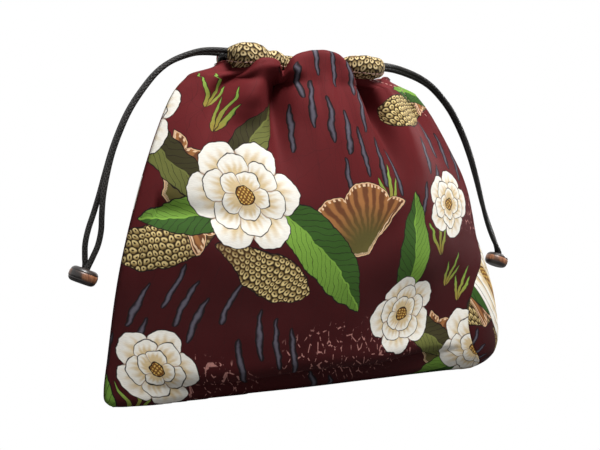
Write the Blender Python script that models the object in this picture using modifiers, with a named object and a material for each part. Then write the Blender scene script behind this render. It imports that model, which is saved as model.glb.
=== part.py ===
# Drawstring pouch with two cords.
#
# The pouch stands on its flat base. +X is to its right, -Y is its front and +Z is up. The two panels are
# sewn together at both sides and along the base, and a casing strip on each carries both cords. All
# lengths are in metres. Every outline below is written in a plan whose X runs from the middle of the base.

import math

import bmesh
import bpy

COLLECTION_NAME = "drawstring_pouch"

# Cloth and seams
CLOTH = 0.0012
SEAM_GAP = 0.0003
CASING_SEAT_GAP = 0.0005
PLAN_SHIFT = (-0.0069, 0.0004)

# Heights
NECK_HEIGHT = 0.1815
CASING_HEIGHT = 0.0150
CASING_DEPTH = 0.0100
CASING_CLOTH = 0.0010
ROLL_START = 0.1740

# Side outlines of the body, as height and X
LEFT_EDGE = [
    (0.000, -0.1215), (0.004, -0.1240), (0.024, -0.1220), (0.067, -0.1160), (0.108, -0.1065),
    (0.135, -0.0985), (0.153, -0.0920), (0.164, -0.0870), (0.172, -0.0810), (0.178, -0.0730),
    (0.1815, -0.0620),
]
RIGHT_EDGE = [
    (0.000, 0.1200), (0.005, 0.1320), (0.016, 0.1375), (0.033, 0.1360), (0.050, 0.1325), (0.070, 0.1260),
    (0.086, 0.1200), (0.102, 0.1170), (0.121, 0.1110), (0.141, 0.0990), (0.161, 0.0850), (0.172, 0.0750),
    (0.178, 0.0660), (0.1815, 0.0520),
]
# The stuffed right end bulges past the side seam, as height and reach
END_BULGE = [
    (0.000, 0.0160), (0.010, 0.0290), (0.033, 0.0320), (0.057, 0.0230), (0.075, 0.0110), (0.090, 0.0040),
    (0.120, 0.0020), (0.1815, 0.0016),
]
# Depth in front of and behind the seam plane, as height and depth
FRONT_DEPTH = [
    (0.000, 0.0160), (0.004, 0.0192), (0.010, 0.0212), (0.017, 0.0218), (0.023, 0.0258), (0.036, 0.0292),
    (0.055, 0.0315), (0.080, 0.0325), (0.105, 0.0305), (0.130, 0.0265), (0.150, 0.0220), (0.165, 0.0175),
    (0.1815, 0.0120),
]
BACK_DEPTH = [
    (0.000, 0.0170), (0.004, 0.0205), (0.012, 0.0240), (0.030, 0.0285), (0.060, 0.0315), (0.090, 0.0310),
    (0.120, 0.0285), (0.145, 0.0235), (0.165, 0.0175), (0.1815, 0.0120),
]
# Depth of the front and of the back at the right side seam, as height and depth
FRONT_SEAM_DEPTH = [
    (0.000, 0.0080), (0.010, 0.0130), (0.033, 0.0140), (0.057, 0.0110), (0.075, 0.0060), (0.090, 0.0024),
    (0.120, 0.0012), (0.1815, 0.0008),
]
BACK_SEAM_DEPTH = [
    (0.000, 0.0130), (0.010, 0.0200), (0.033, 0.0240), (0.057, 0.0200), (0.075, 0.0130), (0.090, 0.0070),
    (0.120, 0.0040), (0.1815, 0.0010),
]

# How far the back panel turns round the right end before it meets the seam, as height and angle
END_TURN = [
    (0.000, math.radians(55)), (0.012, math.radians(85)), (0.040, math.radians(90)),
    (0.060, math.radians(75)), (0.078, math.radians(35)), (0.095, math.radians(8)),
]

# Where the gathered top edge runs, as X and Y
FRONT_NECK = [
    (-0.0620, -SEAM_GAP / 2), (-0.0560, -0.0062), (-0.0460, -0.0142), (-0.0360, -0.0128),
    (-0.0260, -0.0096), (-0.0140, -0.0098), (0.0000, -0.0098), (0.0120, -0.0094), (0.0230, -0.0138),
    (0.0330, -0.0134), (0.0430, -0.0064), (0.0520, -SEAM_GAP / 2),
]
BACK_NECK = [
    (-0.0620, SEAM_GAP / 2), (-0.0560, 0.0062), (-0.0420, 0.0142), (-0.0280, 0.0108), (-0.0130, 0.0146),
    (0.0030, 0.0110), (0.0180, 0.0144), (0.0310, 0.0110), (0.0430, 0.0064), (0.0520, SEAM_GAP / 2),
]
CASING_LEFT = -0.0560
CASING_RIGHT = 0.0430

# Folds that run down from the gathers: place across the panel, half width across, outward amount
FRONT_FOLDS = [
    (0.10, 0.050, 0.0030), (0.19, 0.030, -0.0050), (0.26, 0.035, 0.0045), (0.34, 0.034, -0.0105),
    (0.50, 0.095, 0.0060), (0.68, 0.036, -0.0110), (0.79, 0.050, 0.0060), (0.90, 0.040, -0.0025),
]
BACK_FOLDS = [
    (0.17, 0.050, 0.0040), (0.30, 0.035, -0.0060), (0.45, 0.060, 0.0050), (0.59, 0.035, -0.0070),
    (0.72, 0.050, 0.0050), (0.83, 0.035, -0.0050),
]
FOLD_LOW = 0.105
FOLD_HIGH = 0.168
FOLD_SEAM_RATE = 8
NECK_BLEND_LOW = 0.162

# The front cloth rolls up in front of the casing: middle, half width and share of the height
ROLLS = [(-0.0070, 0.0185, 1.00)]
# The roll's section, as Y and height over the neck, from its foot over its top to the casing's lower edge
ROLL_PATH = [
    (-0.0238, -0.0015), (-0.0240, 0.0060), (-0.0226, 0.0112), (-0.0198, 0.0120), (-0.0181, 0.0070),
    (-0.0178, -0.0010),
]
ROLL_FORWARD_RATE = 4
ROLL_LIFT_START = 0.08
ROLL_LIFT_END = 0.80
ROLL_EDGE_RATE = 60
ROLL_EDGE_DROP = 1.3 * CLOTH
# Share of the way up the roll at which the cloth stands over the neck line
ROLL_UPRIGHT_SHARE = 0.85

# Rows of the mesh. The base rows run from the base seam outwards, the wall rows are heights.
BASE_ROWS = [0.0, 0.45, 0.88]
WALL_ROWS = [
    0.0030, 0.0075, 0.0125, 0.0170, 0.0225, 0.0310, 0.0420, 0.0550, 0.0700, 0.0850, 0.1000, 0.1140,
    0.1265, 0.1380, 0.1480, 0.1565, 0.1635, 0.1690, ROLL_START,
]
CORNER_RISE = 0.0030
BASE_EDGE_LIFT = 0.0001
CORNER_SHARE = 0.05
BASE_SEAM_END = (0.1070, -0.0050)
FRONT_COLUMNS = 34
BACK_MAIN_COLUMNS = 26
BACK_END_COLUMNS = 9
TIP_POWER = 0.75

# Casings
CASING_STATIONS = 27
CASING_SIDES = 12
CASING_SQUARENESS = 0.75
CASING_SLOPE_PARTS = 16

# Smooth curves through a route's points
CURVE_PARTS = 12

# Cords and stoppers
CORD_DIAMETER = 0.0030
CORD_POINT_SPACING = 0.0072
TUNNEL_OFFSET = (0.0018, 0.0033)
TUNNEL_TURN_START = math.radians(62)
TUNNEL_STATION_STEP = 2
TURN_ROUND_STEPS = 6
STOPPER_RADIUS = 0.0075
STOPPER_HEIGHT = 0.0080
STOPPER_HOLE_RADIUS = 0.0040
STOPPER_HOLE_DEPTH = 0.0056
STOPPER_EDGE = 0.0026
STOPPER_TILT = math.radians(22)
STOPPER_SIDES = 24
STOPPER_EDGE_STEPS = 5
MERGE_DISTANCE = 0.00001
LEFT_STOPPER = (-0.1350, 0.0, 0.0695)
RIGHT_STOPPER = (0.1400, 0.0, 0.0700)

# The tails of each cord, from the casing to the stopper, points chosen along each strand
LEFT_FRONT_TAIL = [
    (-0.0680, -0.0040, 0.1912), (-0.0770, -0.0028, 0.1890), (-0.0880, -0.0020, 0.1838),
    (-0.0965, -0.0018, 0.1768), (-0.1045, -0.0018, 0.1665), (-0.1110, -0.0018, 0.1560),
    (-0.1160, -0.0018, 0.1450), (-0.1200, -0.0018, 0.1340), (-0.1228, -0.0018, 0.1230),
    (-0.1250, -0.0018, 0.1110), (-0.1258, -0.0018, 0.1010), (-0.1262, -0.0018, 0.0930),
    (-0.1278, -0.0018, 0.0855), (-0.1306, -0.0017, 0.0790), (-0.1328, -0.0017, 0.0745),
    (-0.1351, -0.0017, 0.0692),
]
LEFT_BACK_TAIL = [
    (-0.0680, 0.0040, 0.1912), (-0.0770, 0.0028, 0.1890), (-0.0880, 0.0020, 0.1838),
    (-0.0965, 0.0018, 0.1768), (-0.1045, 0.0018, 0.1665), (-0.1110, 0.0018, 0.1560),
    (-0.1160, 0.0018, 0.1450), (-0.1200, 0.0018, 0.1340), (-0.1232, 0.0018, 0.1230),
    (-0.1262, 0.0018, 0.1120), (-0.1292, 0.0018, 0.1020), (-0.1320, 0.0018, 0.0935),
    (-0.1336, 0.0018, 0.0860), (-0.1338, 0.0017, 0.0795), (-0.1338, 0.0017, 0.0745),
    (-0.1356, 0.0017, 0.0692),
]
RIGHT_FRONT_TAIL = [
    (0.0550, -0.0040, 0.1922), (0.0710, -0.0026, 0.1890), (0.0830, -0.0019, 0.1840),
    (0.0920, -0.0018, 0.1770), (0.1010, -0.0018, 0.1675), (0.1095, -0.0018, 0.1540),
    (0.1160, -0.0018, 0.1400), (0.1212, -0.0018, 0.1250), (0.1258, -0.0018, 0.1090),
    (0.1300, -0.0018, 0.0960), (0.1345, -0.0018, 0.0860), (0.1388, -0.0017, 0.0790),
    (0.1410, -0.0017, 0.0745), (0.1398, -0.0017, 0.0697),
]
RIGHT_BACK_TAIL = [
    (0.0550, 0.0040, 0.1922), (0.0710, 0.0026, 0.1890), (0.0835, 0.0019, 0.1840),
    (0.0930, 0.0018, 0.1770), (0.1020, 0.0018, 0.1675), (0.1107, 0.0018, 0.1540),
    (0.1175, 0.0018, 0.1400), (0.1232, 0.0018, 0.1250), (0.1286, 0.0018, 0.1090),
    (0.1334, 0.0018, 0.0970), (0.1380, 0.0018, 0.0870), (0.1408, 0.0017, 0.0800),
    (0.1418, 0.0017, 0.0745), (0.1402, 0.0017, 0.0697),
]

CASING_MIDDLE_HEIGHT = NECK_HEIGHT + CASING_SEAT_GAP + CASING_HEIGHT / 2


def smooth_value(table, place):
    """Read a table of places and values on a smooth curve through its points."""
    if place <= table[0][0]:
        return table[0][1]
    if place >= table[-1][0]:
        return table[-1][1]
    index = max(i for i in range(len(table) - 1) if table[i][0] <= place)

    def slope(i):
        before, after = max(i - 1, 0), min(i + 1, len(table) - 1)
        return (table[after][1] - table[before][1]) / (table[after][0] - table[before][0])

    (start, first), (end, last) = table[index], table[index + 1]
    span = end - start
    part = (place - start) / span
    pull_first = slope(index) * span
    pull_last = slope(index + 1) * span
    return (
        first * (2 * part**3 - 3 * part**2 + 1)
        + pull_first * (part**3 - 2 * part**2 + part)
        + last * (3 * part**2 - 2 * part**3)
        + pull_last * (part**3 - part**2)
    )


def smooth_step(low, high, value):
    part = min(1.0, max(0.0, (value - low) / (high - low)))
    return part * part * (3 - 2 * part)


def mix(first, last, share):
    return tuple(a + (b - a) * share for a, b in zip(first, last))


def tip_shape(part):
    """How full a section is beside a side seam, from 0 at the seam to 1 in the middle."""
    return math.sin(math.pi / 2 * min(1.0, 2 * part)) ** TIP_POWER


def fold_amount(folds, across, height):
    fade = smooth_step(FOLD_LOW, FOLD_HIGH, height)
    return fade * sum(amount * math.exp(-((across - place) / width) ** 2) for place, width, amount in folds)


def near_seam(across):
    """Folds fade out beside the side seams."""
    return min(1.0, FOLD_SEAM_RATE * across * (1 - across))


def end_centre_x(height):
    return smooth_value(RIGHT_EDGE, height) - smooth_value(END_BULGE, height)


def right_seam(height):
    """Where the right side seam runs at a height."""
    turn = smooth_value(END_TURN, height)
    x = end_centre_x(height) + smooth_value(END_BULGE, height) * math.cos(turn)
    return x, -smooth_value(FRONT_SEAM_DEPTH, height) * math.sin(turn)


def front_section(across, height):
    """A point of the front panel's inner face, across from the left seam to the right seam."""
    left = smooth_value(LEFT_EDGE, height)
    right, seam_y = right_seam(height)
    seam_depth = -seam_y
    right -= SEAM_GAP / 2
    depth = smooth_value(FRONT_DEPTH, height)
    roundness = min(1.0, seam_depth / FRONT_SEAM_DEPTH[2][1])
    tail = max(0.0, 2 * across - 1)
    soft_fall = (1 + math.cos(math.pi * tail)) / 2
    lens_fall = tip_shape(1 - across)
    fall = roundness * soft_fall + (1 - roundness) * lens_fall
    rise = tip_shape(across)
    inside = rise * (depth * fall + seam_depth * (1 - fall))
    inside += fold_amount(FRONT_FOLDS, across, height) * near_seam(across)
    return left + (right - left) * across, -SEAM_GAP / 2 - inside


def back_section(across, height):
    """A point of the back panel's inner face; past its main part it turns round the stuffed end."""
    left = smooth_value(LEFT_EDGE, height)
    bulge = smooth_value(END_BULGE, height)
    middle = end_centre_x(height)
    depth = smooth_value(BACK_DEPTH, height)
    seam_depth = smooth_value(BACK_SEAM_DEPTH, height)
    main_share = BACK_MAIN_COLUMNS / (BACK_MAIN_COLUMNS + BACK_END_COLUMNS)
    if across <= main_share:
        part = across / main_share
        fall = math.cos(math.pi / 2 * max(0.0, 2 * part - 1))
        inside = tip_shape(part) * (depth * fall + seam_depth * (1 - fall))
        inside += fold_amount(BACK_FOLDS, part, height) * near_seam(part)
        return left + (middle - left) * part, SEAM_GAP / 2 + inside
    last_turn = smooth_value(END_TURN, height)
    share = (across - main_share) / (1 - main_share)
    turn = math.pi / 2 - (math.pi / 2 + last_turn) * share
    reach = seam_depth if turn > 0 else smooth_value(FRONT_SEAM_DEPTH, height)
    return middle + SEAM_GAP / 2 * share + bulge * math.cos(turn), SEAM_GAP / 2 + reach * math.sin(turn)


def base_seam(across, side):
    """A point of the seam along the middle of the base, on the front or the back side of it."""
    start = LEFT_EDGE[0][1]
    return start + (BASE_SEAM_END[0] - start) * across, BASE_SEAM_END[1] * across + side * SEAM_GAP / 2


def roll_at(x):
    """How far the cloth is rolled forward at X, and the share of the roll's height that it reaches."""
    best = (0.0, 0.0)
    for middle, half_width, height_share in ROLLS:
        part = (x - middle) / half_width
        share = math.cos(math.pi / 2 * part) ** 2 if abs(part) < 1 else 0.0
        best = max(best, (share, height_share))
    return best


def panel_point(section, neck, side, row, across):
    """A point of a panel's inner face. Rows run from the base seam up to the gathered top edge."""
    base_count = len(BASE_ROWS)
    if row < base_count:
        share = BASE_ROWS[row]
        x, y = mix(base_seam(across, side), section(across, 0.0), share)
        corner = max(0.0, 1 - across / CORNER_SHARE) ** 2
        lift = BASE_EDGE_LIFT if row == base_count - 1 else 0.0
        return x, y, CLOTH + lift + corner * share * CORNER_RISE
    if row < base_count + len(WALL_ROWS):
        height = WALL_ROWS[row - base_count]
        x, y = section(across, height)
        gathered = smooth_step(NECK_BLEND_LOW, NECK_HEIGHT, height)
        neck_x = mix((neck[0][0],), (neck[-1][0],), across)[0]
        drawn_in = gathered
        if side < 0:
            drawn_in *= 1 - min(1.0, ROLL_FORWARD_RATE * roll_at(neck_x)[0])
        y += (smooth_value(neck, neck_x) - section(across, NECK_HEIGHT)[1]) * drawn_in
        x += (neck_x - section(across, NECK_HEIGHT)[0]) * gathered
        corner = max(0.0, 1 - across / CORNER_SHARE) ** 2 if height < CORNER_RISE + CLOTH else 0.0
        return x, y, height + CLOTH + corner * CORNER_RISE
    step = row - base_count - len(WALL_ROWS) + 1
    part = step / (len(ROLL_PATH) + 1)
    low = panel_point(section, neck, side, base_count + len(WALL_ROWS) - 1, across)
    edge_x = neck[0][0] + (neck[-1][0] - neck[0][0]) * across
    edge_y = smooth_value(neck, edge_x)
    x, y = mix(low[:2], (edge_x, edge_y), smooth_step(0.0, ROLL_UPRIGHT_SHARE, part))
    plain = (y, low[2] + (NECK_HEIGHT - low[2]) * part)
    if side > 0:
        return x, *plain
    rolled = ROLL_PATH[step - 1] if step <= len(ROLL_PATH) else (edge_y, -ROLL_EDGE_DROP)
    share, height_share = roll_at(x)
    forward = min(1.0, ROLL_FORWARD_RATE * share)
    lifted = smooth_step(ROLL_LIFT_START, ROLL_LIFT_END, share) * height_share
    if rolled[1] < 0:
        lifted = min(1.0, ROLL_EDGE_RATE * share)
    rolled_height = NECK_HEIGHT + rolled[1]
    return x, plain[0] + (rolled[0] - plain[0]) * forward, plain[1] + (rolled_height - plain[1]) * lifted


def new_material(name, colour, roughness):
    material = bpy.data.materials.new(name)
    material.use_nodes = True
    shader = material.node_tree.nodes["Principled BSDF"]
    shader.inputs["Base Color"].default_value = (*colour, 1.0)
    shader.inputs["Roughness"].default_value = roughness
    shader.inputs["Metallic"].default_value = 0.0
    return material


def new_object(name, data, material, collection):
    piece = bpy.data.objects.new(name, data)
    piece.data.materials.append(material)
    collection.objects.link(piece)
    piece.location = (PLAN_SHIFT[0], PLAN_SHIFT[1], 0.0)
    return piece


def grid_mesh(name, rows, closed=False, flip=False):
    """A surface through rows of points; a closed one joins each row's last point to its first."""
    mesh = bpy.data.meshes.new(name)
    build = bmesh.new()
    verts = [[build.verts.new(point) for point in row] for row in rows]
    count = len(rows[0])
    for low, high in zip(verts, verts[1:]):
        for i in range(count if closed else count - 1):
            j = (i + 1) % count
            corners = (low[i], low[j], high[j], high[i])
            build.faces.new(corners[::-1] if flip else corners)
    build.to_mesh(mesh)
    build.free()
    mesh.shade_smooth()
    return mesh


def add_wall(piece, thickness, offset):
    wall = piece.modifiers.new("wall", "SOLIDIFY")
    wall.thickness = thickness
    wall.offset = offset


def make_panel(name, section, neck, side, columns, material, collection):
    row_count = len(BASE_ROWS) + len(WALL_ROWS) + len(ROLL_PATH) + 1
    rows = [
        [panel_point(section, neck, side, row, i / columns) for i in range(columns + 1)]
        for row in range(row_count)
    ]
    panel = new_object(name, grid_mesh(name, rows, flip=side > 0), material, collection)
    add_wall(panel, CLOTH, 1.0)
    return panel


def casing_path(neck):
    """Centre line of a casing in plan, with the unit direction along it at each station."""
    span = CASING_RIGHT - CASING_LEFT
    places = [CASING_LEFT + span * i / (CASING_STATIONS - 1) for i in range(CASING_STATIONS)]
    small = span / (CASING_SLOPE_PARTS * CASING_STATIONS)
    path = []
    for x in places:
        y = smooth_value(neck, x)
        rise = smooth_value(neck, x + small) - smooth_value(neck, x - small)
        length = math.hypot(2 * small, rise)
        path.append((x, y, 2 * small / length, rise / length))
    return path


def make_casing(name, neck, material, collection):
    """A strip folded into a tunnel, open at both ends."""
    rows = []
    for x, y, along_x, along_y in casing_path(neck):
        loop = []
        for i in range(CASING_SIDES):
            turn = 2 * math.pi * (i + 0.5) / CASING_SIDES
            across = math.copysign(abs(math.cos(turn)) ** CASING_SQUARENESS, math.cos(turn)) * CASING_DEPTH / 2
            up = math.copysign(abs(math.sin(turn)) ** CASING_SQUARENESS, math.sin(turn)) * CASING_HEIGHT / 2
            loop.append((x - along_y * across, y + along_x * across, CASING_MIDDLE_HEIGHT + up))
        rows.append(loop)
    casing = new_object(name, grid_mesh(name, rows, closed=True), material, collection)
    add_wall(casing, CASING_CLOTH, -1.0)
    return casing


def tunnel_run(neck, turn_sign):
    """Points of a cord inside one casing, where the two cords change places on their way."""
    points = []
    span = CASING_RIGHT - CASING_LEFT
    outward = 1 if neck[1][1] > 0 else -1
    for x, y, along_x, along_y in casing_path(neck)[::TUNNEL_STATION_STEP]:
        turn = TUNNEL_TURN_START + math.pi * (x - CASING_LEFT) / span
        inward = turn_sign * TUNNEL_OFFSET[0] * math.cos(turn)
        up = turn_sign * TUNNEL_OFFSET[1] * math.sin(turn)
        shift = -outward * inward
        points.append((x - along_y * shift, y + along_x * shift, CASING_MIDDLE_HEIGHT + up))
    return points


def turn_round(front_end, back_end, side):
    """Points of a cord where it turns from the front casing into the back one, past their ends."""
    radius = (back_end[1] - front_end[1]) / 2
    middle = mix(front_end, back_end, 0.5)
    turns = [math.pi * i / TURN_ROUND_STEPS for i in range(1, TURN_ROUND_STEPS)]
    return [
        (middle[0] + side * radius * math.sin(turn), middle[1] - radius * math.cos(turn), middle[2])
        for turn in turns
    ]


def make_route(front_tail, back_tail, turn_sign):
    """Up the front tail, through both casings and back down the other tail."""
    front, back = tunnel_run(FRONT_NECK, turn_sign), tunnel_run(BACK_NECK, turn_sign)
    if turn_sign > 0:
        held = front + turn_round(front[-1], back[-1], 1) + back[::-1]
    else:
        held = front[::-1] + turn_round(front[0], back[0], -1) + back
    return front_tail[::-1] + held + back_tail


def read_smooth(route, spacing):
    """Evenly spaced points of a smooth curve through the route's own points."""
    dense = []
    for i in range(len(route) - 1):
        before, start = route[max(i - 1, 0)], route[i]
        end, after = route[i + 1], route[min(i + 2, len(route) - 1)]
        for j in range(CURVE_PARTS):
            t = j / CURVE_PARTS
            dense.append(tuple(
                0.5 * (2 * b + (c - a) * t + (2 * a - 5 * b + 4 * c - d) * t * t
                       + (3 * b - a - 3 * c + d) * t**3)
                for a, b, c, d in zip(before, start, end, after)
            ))
    dense.append(route[-1])
    lengths = [0.0]
    for first, last in zip(dense, dense[1:]):
        lengths.append(lengths[-1] + math.dist(first, last))
    count = max(2, round(lengths[-1] / spacing))
    points = []
    for i in range(count + 1):
        place = lengths[-1] * i / count
        k = max(j for j in range(len(lengths) - 1) if lengths[j] <= place + 1e-9)
        part = (place - lengths[k]) / (lengths[k + 1] - lengths[k])
        points.append(mix(dense[k], dense[k + 1], min(1.0, part)))
    return points


def make_cord(name, route, material, collection):
    """A round cord: one filled tube along its route."""
    curve = bpy.data.curves.new(name, "CURVE")
    curve.dimensions = "3D"
    curve.bevel_depth = CORD_DIAMETER / 2
    curve.bevel_resolution = 2
    curve.use_fill_caps = True
    points = read_smooth(route, CORD_POINT_SPACING)
    spline = curve.splines.new("POLY")
    spline.points.add(len(points) - 1)
    for target, point in zip(spline.points, points):
        target.co = (*point, 1.0)
    return new_object(name, curve, material, collection)


def make_stopper(name, place, material, collection):
    """A turned bead with a blind hole in its top, in which the knotted tails sit."""
    half = STOPPER_HEIGHT / 2
    profile = [(STOPPER_HOLE_RADIUS, half)]
    for end in (1, -1):
        for i in range(STOPPER_EDGE_STEPS + 1):
            part = i / STOPPER_EDGE_STEPS
            turn = math.pi / 2 * (1 - part if end > 0 else -part)
            x = STOPPER_RADIUS - STOPPER_EDGE + STOPPER_EDGE * math.cos(turn)
            profile.append((x, end * (half - STOPPER_EDGE) + STOPPER_EDGE * math.sin(turn)))
    profile.append((0.0, -half))
    profile = [(0.0, half - STOPPER_HOLE_DEPTH), (STOPPER_HOLE_RADIUS, half - STOPPER_HOLE_DEPTH)] + profile
    mesh = bpy.data.meshes.new(name)
    mesh.from_pydata([(x, 0.0, z) for x, z in profile], [(i, i + 1) for i in range(len(profile) - 1)], [])
    bead = new_object(name, mesh, material, collection)
    turned = bead.modifiers.new("turned", "SCREW")
    turned.steps = STOPPER_SIDES
    turned.render_steps = STOPPER_SIDES
    turned.use_merge_vertices = True
    turned.merge_threshold = MERGE_DISTANCE
    bead.location = (place[0] + PLAN_SHIFT[0], place[1] + PLAN_SHIFT[1], place[2])
    bead.rotation_euler = (0.0, STOPPER_TILT, 0.0)
    return bead


def main():
    for old in list(bpy.data.objects):
        bpy.data.objects.remove(old, do_unlink=True)
    parts = bpy.data.collections.new(COLLECTION_NAME)
    bpy.context.scene.collection.children.link(parts)

    cloth = new_material("burgundy_cloth", (0.115, 0.018, 0.020), 0.80)
    casing_cloth = new_material("casing_cloth", (0.160, 0.045, 0.035), 0.80)
    cord = new_material("charcoal_cord", (0.022, 0.020, 0.019), 0.50)
    wood = new_material("dark_wood", (0.110, 0.045, 0.022), 0.45)

    make_panel("front_panel", front_section, FRONT_NECK, -1, FRONT_COLUMNS, cloth, parts)
    back_columns = BACK_MAIN_COLUMNS + BACK_END_COLUMNS
    make_panel("back_panel", back_section, BACK_NECK, 1, back_columns, cloth, parts)
    make_casing("front_casing", FRONT_NECK, casing_cloth, parts)
    make_casing("back_casing", BACK_NECK, casing_cloth, parts)

    make_cord("left_cord", make_route(LEFT_FRONT_TAIL, LEFT_BACK_TAIL, 1), cord, parts)
    make_cord("right_cord", make_route(RIGHT_FRONT_TAIL, RIGHT_BACK_TAIL, -1), cord, parts)

    make_stopper("left_stopper", LEFT_STOPPER, wood, parts)
    make_stopper("right_stopper", RIGHT_STOPPER, wood, parts)


main()
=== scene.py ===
# %% [markdown]
# # A gathered drawstring pouch
# The pouch is sewn from two printed cotton panels. A casing strip on each panel carries two waxed cords, and
# a turned wooden bead sits on each pair of tails. The fixed frame gives every solid's place, and this script
# gives each piece its cloth, print, thread, cord or wood.

# %% Load the frame
import math

import bpy
import numpy as np
from mathutils import Matrix, Vector, noise


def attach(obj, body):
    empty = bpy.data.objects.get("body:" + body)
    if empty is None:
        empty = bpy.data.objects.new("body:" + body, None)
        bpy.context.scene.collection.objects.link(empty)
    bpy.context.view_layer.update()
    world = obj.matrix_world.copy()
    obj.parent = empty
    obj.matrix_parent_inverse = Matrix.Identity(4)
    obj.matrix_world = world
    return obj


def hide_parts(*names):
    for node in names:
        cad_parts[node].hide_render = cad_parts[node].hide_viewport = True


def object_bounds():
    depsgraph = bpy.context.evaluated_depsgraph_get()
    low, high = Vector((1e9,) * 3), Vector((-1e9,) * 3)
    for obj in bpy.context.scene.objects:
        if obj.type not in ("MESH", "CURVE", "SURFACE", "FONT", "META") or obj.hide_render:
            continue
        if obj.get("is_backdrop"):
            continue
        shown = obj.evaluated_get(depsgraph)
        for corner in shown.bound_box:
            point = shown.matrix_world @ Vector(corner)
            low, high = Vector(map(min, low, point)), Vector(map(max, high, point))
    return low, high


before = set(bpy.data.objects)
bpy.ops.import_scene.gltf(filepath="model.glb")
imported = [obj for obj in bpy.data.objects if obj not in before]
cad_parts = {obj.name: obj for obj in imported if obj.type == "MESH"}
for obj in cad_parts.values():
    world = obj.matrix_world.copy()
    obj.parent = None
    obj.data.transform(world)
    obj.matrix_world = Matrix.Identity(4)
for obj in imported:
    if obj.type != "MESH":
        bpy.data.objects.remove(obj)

CAD_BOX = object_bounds()
MM = 0.001
PLAN_SHIFT = Vector((-0.0069, 0.0004, 0.0))
print("cad box", [[round(value, 4) for value in corner] for corner in CAD_BOX])

# %% [markdown]
# ## Camera
# The pouch was seen from its left, a little above its middle, from less than half a metre away. A lens of
# 45 mm at that distance gives the same slant to the base line and to the gathered top.

# %% Camera
CAMERA_PLACE = Vector((-0.2184, -0.3953, 0.1025))
CAMERA_TURN = math.radians(27.0)
CAMERA_DIP = math.radians(0.99)
CAMERA_LENS = 45.24


def make_camera():
    data = bpy.data.cameras.new("camera")
    data.lens = CAMERA_LENS
    data.sensor_width = 36.0
    data.clip_start = 0.02
    camera = bpy.data.objects.new("camera", data)
    camera.location = CAMERA_PLACE
    camera.rotation_euler = (math.pi / 2 - CAMERA_DIP, 0.0, -CAMERA_TURN)
    bpy.context.scene.collection.objects.link(camera)
    bpy.context.scene.camera = camera
    return camera


make_camera()
print("camera at", [round(value, 3) for value in CAMERA_PLACE])

# %% [markdown]
# ## Helpers for smooth shapes
# An outline here has only the few points that it needs. A cubic curve through them gives every place
# between, so one short table shapes a whole side of the bag.

# %% Smooth tables and steps


def smooth_value(table, place):
    """Read a table of places and values on a smooth curve through its points."""
    if place <= table[0][0]:
        return table[0][1]
    if place >= table[-1][0]:
        return table[-1][1]
    index = max(i for i in range(len(table) - 1) if table[i][0] <= place)

    def slope(i):
        before, after = max(i - 1, 0), min(i + 1, len(table) - 1)
        return (table[after][1] - table[before][1]) / (table[after][0] - table[before][0])

    (start, first), (end, last) = table[index], table[index + 1]
    span = end - start
    part = (place - start) / span
    return (
        first * (2 * part**3 - 3 * part**2 + 1)
        + slope(index) * span * (part**3 - 2 * part**2 + part)
        + last * (3 * part**2 - 2 * part**3)
        + slope(index + 1) * span * (part**3 - part**2)
    )


def smooth_step(low, high, value):
    part = min(1.0, max(0.0, (value - low) / (high - low)))
    return part * part * (3 - 2 * part)


def blend(first, last, share):
    return tuple(a + (b - a) * share for a, b in zip(first, last))


def read_smooth(route, count):
    """Evenly spaced points of a smooth curve through the route's own points."""
    dense = []
    for i in range(len(route) - 1):
        before, start = route[max(i - 1, 0)], route[i]
        end, after = route[i + 1], route[min(i + 2, len(route) - 1)]
        for j in range(16):
            t = j / 16
            dense.append(tuple(
                0.5 * (2 * b + (c - a) * t + (2 * a - 5 * b + 4 * c - d) * t * t
                       + (3 * b - a - 3 * c + d) * t**3)
                for a, b, c, d in zip(before, start, end, after)
            ))
    dense.append(route[-1])
    dense = np.array(dense)
    steps = np.linalg.norm(np.diff(dense, axis=0), axis=1)
    lengths = np.concatenate([[0.0], np.cumsum(steps)])
    places = np.linspace(0.0, lengths[-1], count)
    return np.stack([np.interp(places, lengths, dense[:, axis]) for axis in range(3)], axis=1)


print("smooth helpers ready")

# %% [markdown]
# ## Meshes from rows of points
# Cloth, cord and thread all start as rows of points. A grid of them is joined with faces, and a cloth gets a
# second layer of points along its normals, so it has a real thickness and closed edges. Each point also
# keeps its place on the flat cloth, in metres, as a UV map called cloth.

# %% Grid meshes


def grid_normals(points, closed_across):
    """Outward unit normals of a grid of points; rows run up and columns run across."""
    if closed_across:
        across = np.roll(points, -1, axis=1) - np.roll(points, 1, axis=1)
    else:
        across = np.gradient(points, axis=1)
    up = np.gradient(points, axis=0)
    normals = np.cross(across, up)
    lengths = np.linalg.norm(normals, axis=2, keepdims=True)
    return normals / np.maximum(lengths, 1e-12)


def grid_faces(rows, columns, closed_across, start, flip):
    faces = []
    for j in range(rows - 1):
        for i in range(columns if closed_across else columns - 1):
            k = (i + 1) % columns
            low, high = start + j * columns, start + (j + 1) * columns
            face = (low + i, low + k, high + k, high + i)
            faces.append(face[::-1] if flip else face)
    return faces


def mesh_object(name, points, faces, cloth_places, material):
    """A plain mesh at the origin, smooth, with its UV map."""
    mesh = bpy.data.meshes.new(name)
    mesh.from_pydata([tuple(point) for point in points], [], faces)
    layer = mesh.uv_layers.new(name="cloth")
    corner_points = np.zeros(len(mesh.loops), dtype=np.int32)
    mesh.loops.foreach_get("vertex_index", corner_points)
    layer.data.foreach_set("uv", np.asarray(cloth_places, dtype=np.float32)[corner_points].ravel())
    mesh.materials.append(material)
    mesh.shade_smooth()
    piece = bpy.data.objects.new(name, mesh)
    bpy.context.scene.collection.objects.link(piece)
    return piece


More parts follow.
